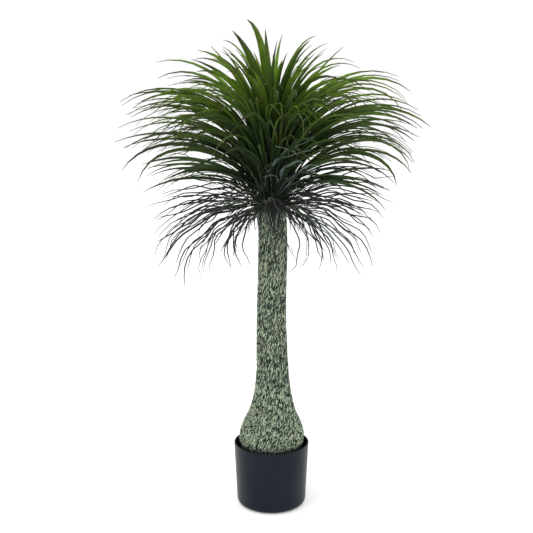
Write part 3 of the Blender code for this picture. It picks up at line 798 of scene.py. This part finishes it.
def leaf_skin(settings):
    """Satin green blade with parallel veins, each leaf of its own tone.

    Painted shade darkens the leaves deep in the head and low down, and painted light brightens them
    outwards and upwards. Their greens follow their rise from old to young, partly painted shade and light
    too. Each blade gets a painted highlight along its edges. Leaves brown in patches towards their tips,
    which are dry.
    The outer parts of leaves of the highest tones get more painted light and stay greener at the tips.
    """
    made = Finish("leaf_skin")
    along = made.attribute("along")
    across = made.attribute("across")
    tone = made.attribute("tone")
    place = made.object_coordinates()
    mottle = made.noise(place, scale=60.0, detail=3.0)
    # Painted light and shade: leaves darken towards the axis and downwards, and the outer parts of leaves
    # of high tones are lightened
    outward = made.from_axis(place).step(0.03, 0.22)
    upward = made.coordinate("Z", place).step(0.90, 1.13)
    outer = (along * tone).step(0.45, 0.80)
    painted_light = (0.24 * tone - 0.03 + 0.50 * outward + 0.78 * upward + 0.25 * outer).clamped()
    old, full, young = settings.shaded_old_colour, settings.full_colour, settings.lit_young_colour
    # Green by rise: partly the leaves' own greens by age, partly painted shade low down and painted light
    # high up
    green = made.ramp(made.attribute("rise"), [(0.0, old), (0.45, full), (0.85, young), (1.0, young)])
    bluish = made.blend((tone * 7.0).sine() * 0.25 + 0.25, green, BLUISH_LEAF)
    yellowed = made.blend(tone.step(0.90, 0.97) * 0.55, bluish, YELLOWED_LEAF)
    # Pale veins, and a painted highlight along each blade's edges
    veins = (across * 16.0).sine() * 0.5 + 0.5
    edge = (across * across).step(0.35, 1.0)
    lit = made.blend((veins * 0.16 + edge * 0.30) * along.step(0.1, 0.5), yellowed, LIT_VEIN)
    deep = made.blend(tone.step(0.0, 0.7) * 0.4 + 0.6, DEEP_LEAF, lit)
    weathered = mottle.step(0.45, 0.65) * along.step(0.35, 0.95) * 0.6
    browned = made.blend(weathered, deep, BROWNED_LEAF)
    shaded = made.blend(painted_light, SHADED_LEAF, browned)
    tip = (along + 0.12 * mottle).step(0.80, 1.02)
    dry = tip * (0.55 + 0.45 * outward) * (1.0 - 0.75 * outer)
    return made.surface(
        Base_Color=made.blend(dry, shaded, settings.tip_colour),
        Roughness=0.48 + 0.18 * mottle,
        Specular_IOR_Level=0.15,
        Normal=made.bump(veins, distance=0.0004, strength=0.5),
    )


def dead_strand(settings):
    """Dull near black strands, streaked lengthwise, some still greenish, with a few bleached ones.

    Some are paler at the root. The rest get painted shade there, close to the trunk, where little light
    reaches them.
    """
    made = Finish("dead_strand")
    along = made.attribute("along")
    tone = made.attribute("tone")
    place = made.object_coordinates()
    streaks = made.noise(made.stretched(place, (1.0, 1.0, 0.3)), scale=300.0, detail=3.0)
    greenish = (tone * 40.0).sine() * 0.5 + 0.5
    dark = made.blend(greenish, settings.colour, settings.green_colour)
    bleached = tone.step(0.93, 0.96)
    pale = (bleached * 0.85 + streaks.step(0.5, 0.8) * 0.10 + along.step(0.6, 1.0) * 0.03).clamped()
    strand = made.blend(pale, dark, settings.pale_colour)
    rooted = (1.0 - along.step(0.15, 0.60)) * tone.step(0.40, 0.85) * (1.0 - bleached) * 0.8
    # Painted shade: strands of lower tones darken close to the trunk
    heart_shade = (1.0 - made.from_axis(place).step(0.035, 0.085)) * (1.0 - tone.step(0.4, 0.8)) * 0.85
    return made.surface(
        Base_Color=made.blend(heart_shade, made.blend(rooted, strand, ROOTED_STRAND), STRAND_SHADE),
        Roughness=0.80,
        Normal=made.bump(streaks, distance=0.0005, strength=0.6),
    )


def studio_floor(settings):
    """Matt pale floor with a barely visible grain."""
    made = Finish("studio_floor")
    grain = made.noise(made.object_coordinates(), scale=3.0)
    return made.surface(
        Base_Color=made.blend(grain * 0.02, settings.floor_colour, FLOOR_GRAIN),
        Roughness=0.95,
        Emission_Color=(1.0, 1.0, 1.0, 1.0),
        Emission_Strength=settings.floor_glow,
    )


# Meshes


def add_object(name, data, place=(0.0, 0.0, 0.0), turn=(0.0, 0.0, 0.0)):
    """An object of this data in the scene, at a place and turned by these angles."""
    made = bpy.data.objects.new(name, data)
    made.location = place
    made.rotation_euler = turn
    bpy.context.scene.collection.objects.link(made)
    return made


def add_piece(name, points, faces, material, attributes=None, crease=PLAIN_CREASE):
    """An object of these points and faces, smooth but for edges sharper than the crease angle."""
    mesh = bpy.data.meshes.new(name)
    mesh.from_pydata(points.tolist(), [], faces)
    for label, values in (attributes or {}).items():
        layer = mesh.attributes.new(label, "FLOAT", "POINT")
        layer.data.foreach_set("value", np.ascontiguousarray(values, dtype=np.float32))
    mesh.shade_smooth()
    mesh.set_sharp_from_angle(angle=math.radians(crease))
    mesh.materials.append(material)
    return add_object(name, mesh)


def settle(piece, node):
    """The piece rides with the plant and stands for the plain node, which it hides."""
    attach(piece, "root")
    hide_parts(node)


def grid_quads(rows, columns):
    """Corners of the quads between rows of points, each row joined round to its own start."""
    index = np.arange(rows * columns).reshape(rows, columns)
    index = np.concatenate([index, index[:, :1]], axis=1)
    corners = [index[:-1, :-1], index[1:, :-1], index[1:, 1:], index[:-1, 1:]]
    return np.stack(corners, axis=-1).reshape(-1, 4)


def copied(faces, count, points_each):
    """The faces of one shape for each of so many like ones, whose points follow on one another."""
    return (faces[None] + (np.arange(count) * points_each)[:, None, None]).reshape(-1, 4)


def joined(body, details, attributes):
    """Points, faces and attributes of a body and its details in one. The attributes are 0 on the body."""
    (points, faces), (more_points, more_faces) = body, details
    plain = np.zeros(len(points))
    attributes = {label: np.concatenate([plain, values]) for label, values in attributes.items()}
    faces = faces + (more_faces + len(points)).tolist()
    return np.concatenate([points, more_points]), faces, attributes


def polar(radius, angle, height):
    """Points at these distances from Z, angles about it and heights."""
    return np.stack([radius * np.cos(angle), radius * np.sin(angle), height + 0 * angle], axis=-1)


def rotated(x, y, angle):
    """The coordinates turned about Z."""
    cos, sin = np.cos(angle), np.sin(angle)
    return x * cos - y * sin, x * sin + y * cos


def turned_shape(radii, heights, steps):
    """Points and faces of a profile turned about Z, running down the outside, closed at both poles.

    A point at angle a is (r cos a, r sin a, h). The first and last points of the profile are the poles.
    """
    angles = np.linspace(0, 2 * math.pi, steps, endpoint=False)
    rows = len(radii) - 2
    rings = polar(radii[1:-1, None], angles, heights[1:-1, None])
    poles = np.array([[0, 0, heights[0]], [0, 0, heights[-1]]])
    points = np.concatenate([rings.reshape(-1, 3), poles])
    around = np.arange(steps)
    after = np.roll(around, -1)
    last = (rows - 1) * steps
    top = np.stack([np.full(steps, rows * steps), around, after], axis=1)
    bottom = np.stack([np.full(steps, rows * steps + 1), last + after, last + around], axis=1)
    faces = grid_quads(rows, steps).tolist() + top.tolist() + bottom.tolist()
    return points, faces


def arc(centre, radius, start, end, steps):
    """Radii and heights on a round stretch of a profile. Angles are in degrees from outward."""
    angles = np.radians(np.linspace(start, end, steps + 1))
    return centre[0] + radius * np.cos(angles), centre[1] + radius * np.sin(angles)


def smooth(value):
    """0 below 0, 1 above 1, and a smooth rise between."""
    value = np.clip(value, 0, 1)
    return value * value * (3 - 2 * value)


def between(pair, share):
    """The value at a share of the way from the first of the pair to the second."""
    return pair[0] + (pair[1] - pair[0]) * share


def lattice_noise(points, spacing, seed):
    """Smooth random values from 0 to 1 at these points: a repeating lattice of draws, blended between
    its corners.
    """
    size = 64
    lattice = np.random.RandomState(seed).uniform(0, 1, (size, size, size))
    cell = points / np.asarray(spacing)
    corner = np.floor(cell).astype(int)
    share = smooth(cell - corner)
    total = np.zeros(points.shape[:-1])
    for offset in np.ndindex(2, 2, 2):
        weight = np.where(offset, share, 1 - share).prod(axis=-1)
        index = (corner + offset) % size
        total += weight * lattice[index[..., 0], index[..., 1], index[..., 2]]
    return total


# Pot and soil


def wall_radius(height):
    """Outer radius of the pot at a height: a straight taper from the rim to the foot."""
    share = (height - POT_FOOT_ROUND) / (POT_HEIGHT - POT_FOOT_ROUND)
    return POT_FOOT_RADIUS + (POT_RIM_RADIUS - POT_FOOT_RADIUS) * share


def pot_profile(lip):
    """The pot from the middle of its floor, up inside, over the lip, down the wall and under the foot.

    The wall is a straight taper with one shallow groove, where the mould's halves met.
    """
    inner = wall_radius(POT_FOOT_ROUND) - POT_WALL
    floor_shares = np.array([0.0, 0.3, 0.7, 1.0])
    under_shares = np.array([0.6, 0.0])
    inside_heights = np.linspace(POT_FOOT_ROUND, POT_HEIGHT - 2 * lip, INSIDE_ROWS)
    outside_heights = np.linspace(POT_HEIGHT - 2 * lip, POT_FOOT_ROUND, OUTSIDE_ROWS)
    foot_centre = (POT_FOOT_RADIUS - POT_FOOT_ROUND, POT_FOOT_ROUND)
    offset = (outside_heights - MOULD_LINE_HEIGHT) / MOULD_LINE_WIDTH
    groove = MOULD_LINE_DEPTH * np.exp(-offset ** 2)
    parts = [
        (floor_shares * (inner - POT_FOOT_ROUND / 2), np.full_like(floor_shares, POT_FLOOR)),
        (wall_radius(inside_heights) - POT_WALL, inside_heights),
        arc((POT_RIM_RADIUS - POT_WALL + lip, POT_HEIGHT - lip), lip, 180, 90, LIP_ROWS),
        arc((POT_RIM_RADIUS - lip, POT_HEIGHT - lip), lip, 90, 0, LIP_ROWS),
        (wall_radius(outside_heights) - groove, outside_heights),
        arc(foot_centre, POT_FOOT_ROUND, POT_FOOT_START, -90, FOOT_ROWS),
        (under_shares * foot_centre[0], np.zeros_like(under_shares)),
    ]
    radii, heights = zip(*parts)
    return np.concatenate(radii), np.concatenate(heights)


def trunk_radius(height):
    """Radius of the trunk at a height, on a smooth curve through the profile's points."""
    heights, radii = np.array(TRUNK_PROFILE[::-1]).T
    slopes = np.gradient(radii, heights)
    height = np.clip(height, heights[0], heights[-1])
    i = np.clip(np.searchsorted(heights, height) - 1, 0, len(heights) - 2)
    span = heights[i + 1] - heights[i]
    t = (height - heights[i]) / span
    start = (1 + 2 * t) * (1 - t) ** 2 * radii[i] + t * (1 - t) ** 2 * span * slopes[i]
    end = t * t * (3 - 2 * t) * radii[i + 1] + t * t * (t - 1) * span * slopes[i + 1]
    return start + end


def crumb_shapes(count, random):
    """Loose crumbs, lumpy six-sided beads, each stretched and turned by its own draws.

    Most lie in the ring between trunk and pot, and many in the small heap at the front.
    """
    ring_radii, ring_heights = np.array(CRUMB_RINGS).T
    rings = len(CRUMB_RINGS)
    angles = np.linspace(0, 2 * math.pi, CRUMB_SIDES, endpoint=False)
    front = random.uniform(0, 1, count) < CRUMBS_IN_HEAP
    in_heap = random.normal(HEAP_AZIMUTH, HEAP_SCATTER, count)
    anywhere = random.uniform(0, 2 * math.pi, count)
    azimuth = np.where(front, in_heap, anywhere)
    inner = trunk_radius(SOIL_LEVEL) + CRUMB_CLEARANCE[0]
    outer = wall_radius(SOIL_LEVEL) - POT_WALL - CRUMB_CLEARANCE[1]
    radius = random.uniform(inner, outer, count)
    size = random.uniform(*CRUMB_SIZE, count)
    stretch = random.uniform(*CRUMB_STRETCH, count)
    turn = random.uniform(0, math.pi, count)[:, None, None]
    scrap = random.uniform(0, 1, count) ** 2
    lumps = 1 + CRUMB_LUMPINESS * random.uniform(-1, 1, (count, rings, CRUMB_SIDES))
    ring = ring_radii[None, :, None] * lumps
    x = ring * np.cos(angles) * (size * stretch)[:, None, None]
    y = ring * np.sin(angles) * size[:, None, None]
    z = ring_heights[None, :, None] * size[:, None, None] * CRUMB_FLATNESS + 0 * x
    centre = polar(radius, azimuth, soil_height(radius, azimuth) + size * CRUMB_LIFT)
    points = np.stack([*rotated(x, y, turn), z], axis=-1) + centre[:, None, None, :]
    faces = copied(grid_quads(rings, CRUMB_SIDES), count, rings * CRUMB_SIDES)
    return points.reshape(-1, 3), faces, np.repeat(scrap, rings * CRUMB_SIDES)


def soil_height(radius, azimuth):
    """Height of the soil: level, but for one heap at the front."""
    away = np.angle(np.exp(1j * (azimuth - HEAP_AZIMUTH)))
    inside = smooth((radius - HEAP_START) / HEAP_RAMP)
    return SOIL_LEVEL - SOIL_DROP + HEAP_HEIGHT * np.exp(-(away / HEAP_SPREAD) ** 2) * inside


def soil_shape(lump):
    """A plug that fills the pot: a lumpy top over plain sides, hollowed under the foot of the trunk.

    Rows run outwards over the top, down the side and in under the bottom.
    """
    seat = np.linspace(TRUNK_FOOT, SOIL_LEVEL - SEAT_DROP, SEAT_ROWS)
    edge = wall_radius(SOIL_LEVEL - SOIL_EDGE_DROP) - POT_WALL - 2 * GAP
    base = wall_radius(POT_FOOT_ROUND) - POT_WALL - 2 * GAP
    floor = POT_FLOOR + GAP
    top_radii = np.linspace(trunk_radius(SOIL_LEVEL) - SEAT_OVERLAP, edge, SOIL_ROWS)
    top_heights = np.full(SOIL_ROWS, SOIL_LEVEL)
    bottom_radii = [base, base - POT_FOOT_ROUND / 2, 0.0]
    bottom_heights = [POT_FOOT_ROUND + GAP, floor, floor]
    radii = np.concatenate([[0.0], trunk_radius(seat) + SEAT_CLEARANCE, top_radii, bottom_radii])
    heights = np.concatenate([[0.0], seat, top_heights, bottom_heights])
    heights[:2] = TRUNK_FOOT - GAP
    points, faces = turned_shape(radii, heights, SOIL_STEPS)
    top = points[SEAT_ROWS * SOIL_STEPS:(SEAT_ROWS + SOIL_ROWS) * SOIL_STEPS]
    azimuth = np.arctan2(top[:, 1], top[:, 0])
    radius = np.hypot(top[:, 0], top[:, 1])
    coarse = lattice_noise(top, COARSE_LUMPS, COARSE_SEED)
    fine = lattice_noise(top, FINE_LUMPS, FINE_SEED)
    bumps = coarse + FINE_LUMP_SHARE * fine - (1 + FINE_LUMP_SHARE) / 2
    top[:, 2] = soil_height(radius, azimuth) + lump * 2 * bumps
    return points, [face[::-1] for face in faces]


# Trunk


def bark_relief(points, spacing, length):
    """Height of the bark from 0 to 1: short wandering ridges, broken by finer ones.

    They are stretched upwards, lean to the right as they climb, and are shorter on the swollen foot.
    On the stem they gather into upright rows.
    """
    z = points[..., 2]
    turned_x, turned_y = rotated(points[..., 0], points[..., 1], -BARK_TWIST * z)
    climb = z + BARK_SHORTENING * np.minimum(z - SWELLING_TOP, 0)
    wander = np.stack([lattice_noise(points, *noise) - 0.5 for noise in WANDER_NOISE], axis=-1)
    swollen = smooth((SWELLING_TOP + SWELLING_MARGIN - z) / SWELLING_FADE)
    moved = np.stack([turned_x, turned_y, climb], axis=-1)
    moved = moved + between(BARK_WANDER, swollen)[..., None] * wander
    grain = np.array([spacing, spacing, length])
    broad = lattice_noise(moved, grain, BROAD_SEED)
    narrow = lattice_noise(moved, NARROW_SPACING * grain, NARROW_SEED)
    waver = RIDGE_WAVER * lattice_noise(moved, RIDGE_WAVER_SPACING, WAVER_SEED)
    around = np.arctan2(turned_y, turned_x) + waver
    rows = np.sin(STEM_RIDGES * around) / 2 * STEM_RIDGE_HEIGHT * (1 - swollen)
    field = (1 - NARROW_SHARE) * broad + NARROW_SHARE * narrow + rows
    return smooth((field - FURROW_LEVEL) / RIDGE_RISE)


def trunk_shape(relief, spacing, length):
    """The turned foot and stem, with the bark raised along each row, swaying a little sideways.

    Rows lie closer together on the swollen foot, where the bark is finest.
    """
    fine = np.linspace(TRUNK_TOP, TRUNK_FOOT, PROFILE_SAMPLES)
    row_spacing = np.where(fine < SWELLING_TOP, FOOT_ROW_SPACING, 1.0)
    pace = 1.0 / row_spacing * np.hypot(1, np.gradient(trunk_radius(fine), fine))
    travelled = np.concatenate([[0], np.cumsum((pace[1:] + pace[:-1]) / 2)])
    heights = np.interp(np.linspace(0, travelled[-1], TRUNK_ROWS), travelled, fine)
    radii = np.concatenate([[0.0], trunk_radius(heights), [0.0]])
    heights = np.concatenate([[TRUNK_TOP], heights, [TRUNK_FOOT]])
    points, faces = turned_shape(radii, heights, TRUNK_STEPS)
    raised = bark_relief(points, spacing, length)
    radius = np.hypot(points[:, 0], points[:, 1])
    swell = relief * (raised - 0.5) / np.maximum(radius, AXIS_RADIUS)
    scale = np.where(radius > AXIS_RADIUS, 1 + swell, 1.0)
    points[:, :2] *= scale[:, None]
    points[:, 0] += SWAY * (1 - np.cos(2 * math.pi * (points[:, 2] - SWAY_START) / SWAY_PERIOD))
    return points, faces, raised


# Leaves


def jittered(random, spread):
    """A draw between minus and plus the spread."""
    return spread * random.uniform(-1, 1)


def rooted(group, rise, azimuth, random):
    """What every leaf has: its habit, its place on the core and the draws that set it apart."""
    return SimpleNamespace(
        habit=group.habit,
        rise=rise,
        azimuth=azimuth,
        root_height=between(group.core, between(ROOT_SPAN, rise)),
        root_radius=ROOT_DEPTH * between(group.core_radii, rise),
        reach=random.uniform(*REACH, MOST_FINGERS),
        fan=math.radians(group.habit.fan * random.uniform(*FAN_SPREAD)),
        roll=random.choice([-1, 1]) * math.radians(random.uniform(*group.habit.roll)),
        phase=random.uniform(0, 2 * math.pi),
    )


def leaf_spec(group, index, random):
    """The numbers of one leaf that follows the group's rule.

    Leaves climb the core by the golden angle, and each higher one is launched steeper. Those that lean
    towards the viewer are launched steeper too.
    """
    rise = index / max(1, group.count - 1)
    at_rise = {name: float(np.interp(rise, group.rise, getattr(group, name))) for name in FOLLOWS_RISE}
    azimuth = index * GOLDEN_ANGLE + jittered(random, AZIMUTH_JITTER)
    to_viewer = max(0.0, -math.sin(azimuth)) ** 2 * (1 - rise)
    launch = at_rise["launch"] + group.habit.front_lift * to_viewer + jittered(random, LAUNCH_JITTER)
    tip = at_rise["tip"] + jittered(random, group.habit.tip_jitter)
    spec = rooted(group, rise, azimuth, random)
    spec.launch = math.radians(launch)
    spec.bend = math.radians(launch - tip)
    spec.arch = at_rise["arch"]
    spec.length = at_rise["length"] * (1 + jittered(random, LENGTH_JITTER))
    spec.width = at_rise["width"] * (1 + jittered(random, WIDTH_JITTER))
    spec.fingers = max(1, round(at_rise["fingers"] + jittered(random, FINGER_JITTER)))
    spec.drift = math.radians(jittered(random, DRIFT_JITTER))
    return spec


def aimed_spec(group, leaf, random):
    """The numbers of an aimed leaf, bent and stretched until its tip lies on the line of sight."""
    rise = float(np.interp(leaf.launch, group.launch, group.rise))
    azimuth = math.radians(leaf.azimuth)
    spec = rooted(group, rise, azimuth, random)
    spec.launch = math.radians(leaf.launch)
    spec.arch = leaf.arch
    spec.width = leaf.width
    spec.fingers = leaf.fingers
    spec.drift = math.radians(leaf.swing)
    spec.azimuth = azimuth - spec.drift
    across, depth, height = CAMERA_PLACE
    cos, sin = math.cos(azimuth), math.sin(azimuth)
    share = (depth * cos - across * sin) / (depth * cos + (leaf.tip_x - across) * sin)
    tip_radius = (across + share * (leaf.tip_x - across)) * cos + depth * (1 - share) * sin
    tip_height = height + share * (leaf.tip_z - height)
    out, up = tip_radius - spec.root_radius, tip_height - spec.root_height
    spec.bend = 1.0
    spec.length = math.hypot(out, up)
    for _ in range(AIM_ROUNDS):
        radius, rising = leaf_path(spec)
        reached_out, reached_up = radius[-1] - radius[0], rising[-1] - rising[0]
        turn = math.atan2(reached_up, reached_out) - math.atan2(up, out)
        spec.bend = min(spec.bend + AIM_PACE * (spec.arch + 1) * turn, MOST_BEND)
        spec.length *= math.hypot(out, up) / math.hypot(reached_out, reached_up)
    return spec


def leaf_path(spec):
    """Radius and height along a leaf's centreline. It climbs at an angle that falls as share ** arch."""
    middle = (np.arange(PATH_STEPS) + 0.5) / PATH_STEPS
    climb = spec.launch - spec.bend * middle ** spec.arch
    step = spec.length / PATH_STEPS
    radius = spec.root_radius + np.concatenate([[0], np.cumsum(np.cos(climb) * step)])
    height = spec.root_height + np.concatenate([[0], np.cumsum(np.sin(climb) * step)])
    return radius, height


def leaf_frame(spec, shares):
    """Centreline points, side directions and upward directions at these shares of a leaf's length.

    The leaf drifts a little sideways and rolls about itself, and kinks as its habit has it.
    """
    fine = np.linspace(0.0, 1.0, PATH_STEPS + 1)
    radius, height = leaf_path(spec)
    radius = np.interp(shares, fine, radius)
    height = np.interp(shares, fine, height)
    around = spec.azimuth + spec.drift * shares ** 2
    points = polar(radius, around, height)
    climb = spec.launch - spec.bend * shares ** spec.arch
    across = np.stack([-np.sin(around), np.cos(around), np.zeros_like(shares)], axis=1)
    up = polar(-np.sin(climb), around, np.cos(climb))
    roll = (spec.roll * (ROLL_AT_ROOT + (1 - ROLL_AT_ROOT) * smooth(shares)))[:, None]
    side = across * np.cos(roll) + up * np.sin(roll)
    lift = up * np.cos(roll) - across * np.sin(roll)
    fullness = min(1.0, spec.length / FULL_KINK_LENGTH)
    kink = spec.habit.kink * fullness ** 2 * np.minimum(1, KINK_START * shares)
    sway = kink * np.sin(spec.phase + SWAY_WAVES * shares)
    heave = kink * np.sin(2 * spec.phase + HEAVE_WAVES * shares)
    return points + side * sway[:, None] + lift * heave[:, None], side, lift


def finger_section(spec, finger, rows):
    """One finger of a leaf from its root to its tip, as rows of four points: edge, top, edge, underside.

    Fingers lie side by side in the strap and part beyond the split. The width falls smoothly to the tip,
    the two edges stand a little above the middle, and the middle is the thickest. Each finger bends to
    either side at a few places of its own.
    """
    fingers = spec.fingers
    split = spec.habit.split
    place = finger - (fingers - 1) / 2
    away = finger - (fingers - 1) // 2
    reach = spec.reach[finger] if away else 1.0
    end = split + (1 - split) * reach
    shares = end * np.linspace(0, 1, rows) ** ROW_CROWDING
    points, side, lift = leaf_frame(spec, shares)
    strap = ROOT_TAPER + (1 - ROOT_TAPER) * smooth(shares / FULL_WIDTH_AT)
    free = np.clip((shares - split) / (end - split), 0, 1)
    taper = (1 - free) ** spec.habit.taper * (1 + FINGER_BELLY * free)
    width = spec.width / 2 / fingers * strap
    half = np.maximum(width * taper, HAIR_WIDTH / 2)[:, None]
    beyond = (np.maximum(0, shares - split) * spec.length)[:, None]
    centres = points + side * (place * 2 * width[:, None] + away * spec.fan * beyond)
    centres = centres - lift * abs(away) * FINGER_DROOP * beyond
    places = np.linspace(0, 1, BEND_STEPS)
    uneven = free * spec.habit.unevenness * min(1.0, spec.length / FULL_KINK_LENGTH)
    aside = np.interp(shares, places, spec.bends[finger][0]) * uneven
    upward = np.interp(shares, places, spec.bends[finger][1]) * uneven
    centres = centres + side * aside[:, None] + lift * upward[:, None]
    fold = FOLD * half
    thick = KEEL * between((KEEL_AT_TIP, 1.0), 1 - shares[:, None] / end)
    section = [
        centres - side * half + lift * fold,
        centres + lift * (thick / 2 - fold * FOLD_AT_MIDDLE),
        centres + side * half + lift * fold,
        centres - lift * (thick / 2 + fold * FOLD_AT_MIDDLE),
    ]
    return np.stack(section, axis=1), shares


def leaf_shape(specs, rows):
    """All leaves of these specs as closed blades, with the attributes that their finish reads."""
    sections = []
    values = []
    across = np.tile([-1.0, 0.0, 1.0, 0.0], rows)
    for spec in specs:
        for finger in range(spec.fingers):
            section, shares = finger_section(spec, finger, rows)
            sections.append(section)
            values.append(np.broadcast_arrays(np.repeat(shares, 4), across, spec.tone, spec.rise))
    last = (rows - 1) * 4
    caps = np.array([[0, 1, 2, 3], [last + 3, last + 2, last + 1, last]])
    faces = copied(np.concatenate([grid_quads(rows, 4), caps]), len(sections), rows * 4)
    points = np.concatenate(sections).reshape(-1, 3)
    return points, faces, dict(zip(LEAF_ATTRIBUTES, np.concatenate(values, axis=1)))


def grow(groups):
    """Specs of the leaves of all the groups, each with a tone and bends of its own."""
    grown = []
    finer_random = np.random.RandomState(groups[0].seed + 1)
    for group in groups:
        random = np.random.RandomState(group.seed)
        specs = [aimed_spec(group, leaf, random) for leaf in group.aimed]
        specs += [leaf_spec(group, index, random) for index in range(group.count)]
        for spec in specs:
            spec.tone = finer_random.uniform(*group.tones)
            spec.bends = finer_random.uniform(-1, 1, (MOST_FINGERS, 2, BEND_STEPS))
        grown += specs
    return grown


def core_shape(group):
    """The short turned core that a group's leaves stand out of."""
    low, high = group.core
    radii = np.array([0.0, group.core_radii[1], group.core_radii[0], 0.0])
    return turned_shape(radii, np.array([high, high, low, low]), CORE_STEPS)


def make_foliage(name, groups, rows, material):
    """One piece of the blades of all the groups, around the core of the first."""
    *blades, attributes = leaf_shape(grow(groups), rows)
    points, faces, attributes = joined(core_shape(groups[0]), blades, attributes)
    return add_piece(name, points, faces, material, attributes, LEAF_CREASE)


# Operators


class YUCCA_OT_make_pot(Operator):
    """Turn the black pot with its thin lip and rounded foot"""

    bl_idname = "yucca.make_pot"
    bl_label = "Pot"

    def execute(self, context):
        settings = context.scene.yucca.pot
        points, faces = turned_shape(*pot_profile(settings.lip), POT_STEPS)
        piece = add_piece("pot_shell", points, faces, pot_plastic(settings), crease=POT_CREASE)
        settle(piece, "pot")
        return {"FINISHED"}


class YUCCA_OT_make_soil(Operator):
    """Fill the pot with lumpy soil, loose crumbs and a small heap at the front"""

    bl_idname = "yucca.make_soil"
    bl_label = "Soil"

    def execute(self, context):
        settings = context.scene.yucca.soil
        *crumbs, scrap = crumb_shapes(settings.crumbs, np.random.RandomState(CRUMB_SEED))
        points, faces, attributes = joined(soil_shape(settings.lump), crumbs, {"scrap": scrap})
        piece = add_piece("soil_and_crumbs", points, faces, damp_soil(settings), attributes)
        settle(piece, "potting_soil")
        return {"FINISHED"}


class YUCCA_OT_make_trunk(Operator):
    """Raise the furrowed bark on the swollen foot and the stem"""

    bl_idname = "yucca.make_trunk"
    bl_label = "Trunk"

    def execute(self, context):
        settings = context.scene.yucca.trunk
        points, faces, raised = trunk_shape(settings.relief, settings.ridge_spacing, settings.ridge_length)
        piece = add_piece("bark", points, faces, corky_bark(settings), {"relief": raised}, BARK_CREASE)
        settle(piece, "trunk")
        return {"FINISHED"}


class YUCCA_OT_grow_leaves(Operator):
    """Grow the head of green strap leaves"""

    bl_idname = "yucca.grow_leaves"
    bl_label = "Leaves"

    def execute(self, context):
        settings = context.scene.yucca.leaves
        inner = INNER_LEAVES._replace(count=settings.inner_count)
        groups = (LEAF_HEAD, inner, NECK_LEAVES, LOOSE_LEAVES)
        piece = make_foliage("green_leaves", groups, LEAF_ROWS, leaf_skin(settings))
        settle(piece, "leaf_head")
        return {"FINISHED"}


class YUCCA_OT_grow_skirt(Operator):
    """Hang the skirt of dead strands under the head"""

    bl_idname = "yucca.grow_skirt"
    bl_label = "Dry skirt"

    def execute(self, context):
        settings = context.scene.yucca.skirt
        inner = INNER_STRANDS._replace(count=settings.inner_count)
        groups = (DRY_SKIRT, inner, NECK_STRANDS, LOOSE_STRANDS)
        piece = make_foliage("dry_strands", groups, STRAND_ROWS, dead_strand(settings))
        settle(piece, "dry_skirt")
        return {"FINISHED"}


class YUCCA_OT_set_stage(Operator):
    """Lay the pale floor, light the studio softly and place the camera"""

    bl_idname = "yucca.set_stage"
    bl_label = "Stage"

    def execute(self, context):
        settings = context.scene.yucca.stage
        corners = np.array([[-1, -1, 0], [1, -1, 0], [1, 1, 0], [-1, 1, 0]], float) * FLOOR_HALF
        corners[:, 2] = -FLOOR_DROP
        floor = add_piece("studio_floor", corners, [(0, 1, 2, 3)], studio_floor(settings))
        world = bpy.data.worlds.new("studio_surround")
        world.use_nodes = True
        background = world.node_tree.nodes["Background"]
        background.inputs["Color"].default_value = (1.0, 1.0, 1.0, 1.0)
        background.inputs["Strength"].default_value = settings.surround
        context.scene.world = world
        key = bpy.data.lights.new("key_light", "AREA")
        key.shape = "DISK"
        key.size = KEY_SIZE
        key.energy = settings.key_power
        add_object("key_light", key, KEY_PLACE, KEY_TURN)
        lens = bpy.data.cameras.new("front_camera")
        lens.lens = CAMERA_LENS
        lens.sensor_width = SENSOR_WIDTH
        camera = add_object("front_camera", lens, CAMERA_PLACE, (math.radians(90 + CAMERA_PITCH), 0.0, 0.0))
        context.scene.camera = camera
        context.scene.view_settings.view_transform = "Standard"
        return {"FINISHED"}


class YUCCA_PT_pieces(Panel):
    """Buttons for every piece of the plant"""

    bl_label = "Potted Yucca"
    bl_idname = "YUCCA_PT_pieces"
    bl_space_type = "VIEW_3D"
    bl_region_type = "UI"
    bl_category = "Yucca"

    def draw(self, context):
        settings = context.scene.yucca
        for group, made_by in PIECES:
            box = self.layout.box()
            box.operator(made_by.bl_idname)
            values = getattr(settings, group)
            for name in values.__annotations__:
                box.prop(values, name)


PIECES = (
    ("pot", YUCCA_OT_make_pot),
    ("soil", YUCCA_OT_make_soil),
    ("trunk", YUCCA_OT_make_trunk),
    ("leaves", YUCCA_OT_grow_leaves),
    ("skirt", YUCCA_OT_grow_skirt),
    ("stage", YUCCA_OT_set_stage),
)
SETTINGS = (
    PotSettings, SoilSettings, TrunkSettings, LeafSettings, SkirtSettings, StageSettings, YuccaSettings,
)
CLASSES = SETTINGS + tuple(made_by for _, made_by in PIECES) + (YUCCA_PT_pieces,)


def register():
    for made in CLASSES:
        bpy.utils.register_class(made)
    bpy.types.Scene.yucca = PointerProperty(type=YuccaSettings)


def unregister():
    del bpy.types.Scene.yucca
    for made in reversed(CLASSES):
        bpy.utils.unregister_class(made)


def main():
    register()
    bpy.ops.yucca.make_pot()
    bpy.ops.yucca.make_soil()
    bpy.ops.yucca.make_trunk()
    bpy.ops.yucca.grow_leaves()
    bpy.ops.yucca.grow_skirt()
    bpy.ops.yucca.set_stage()


if __name__ == "__main__":
    main()
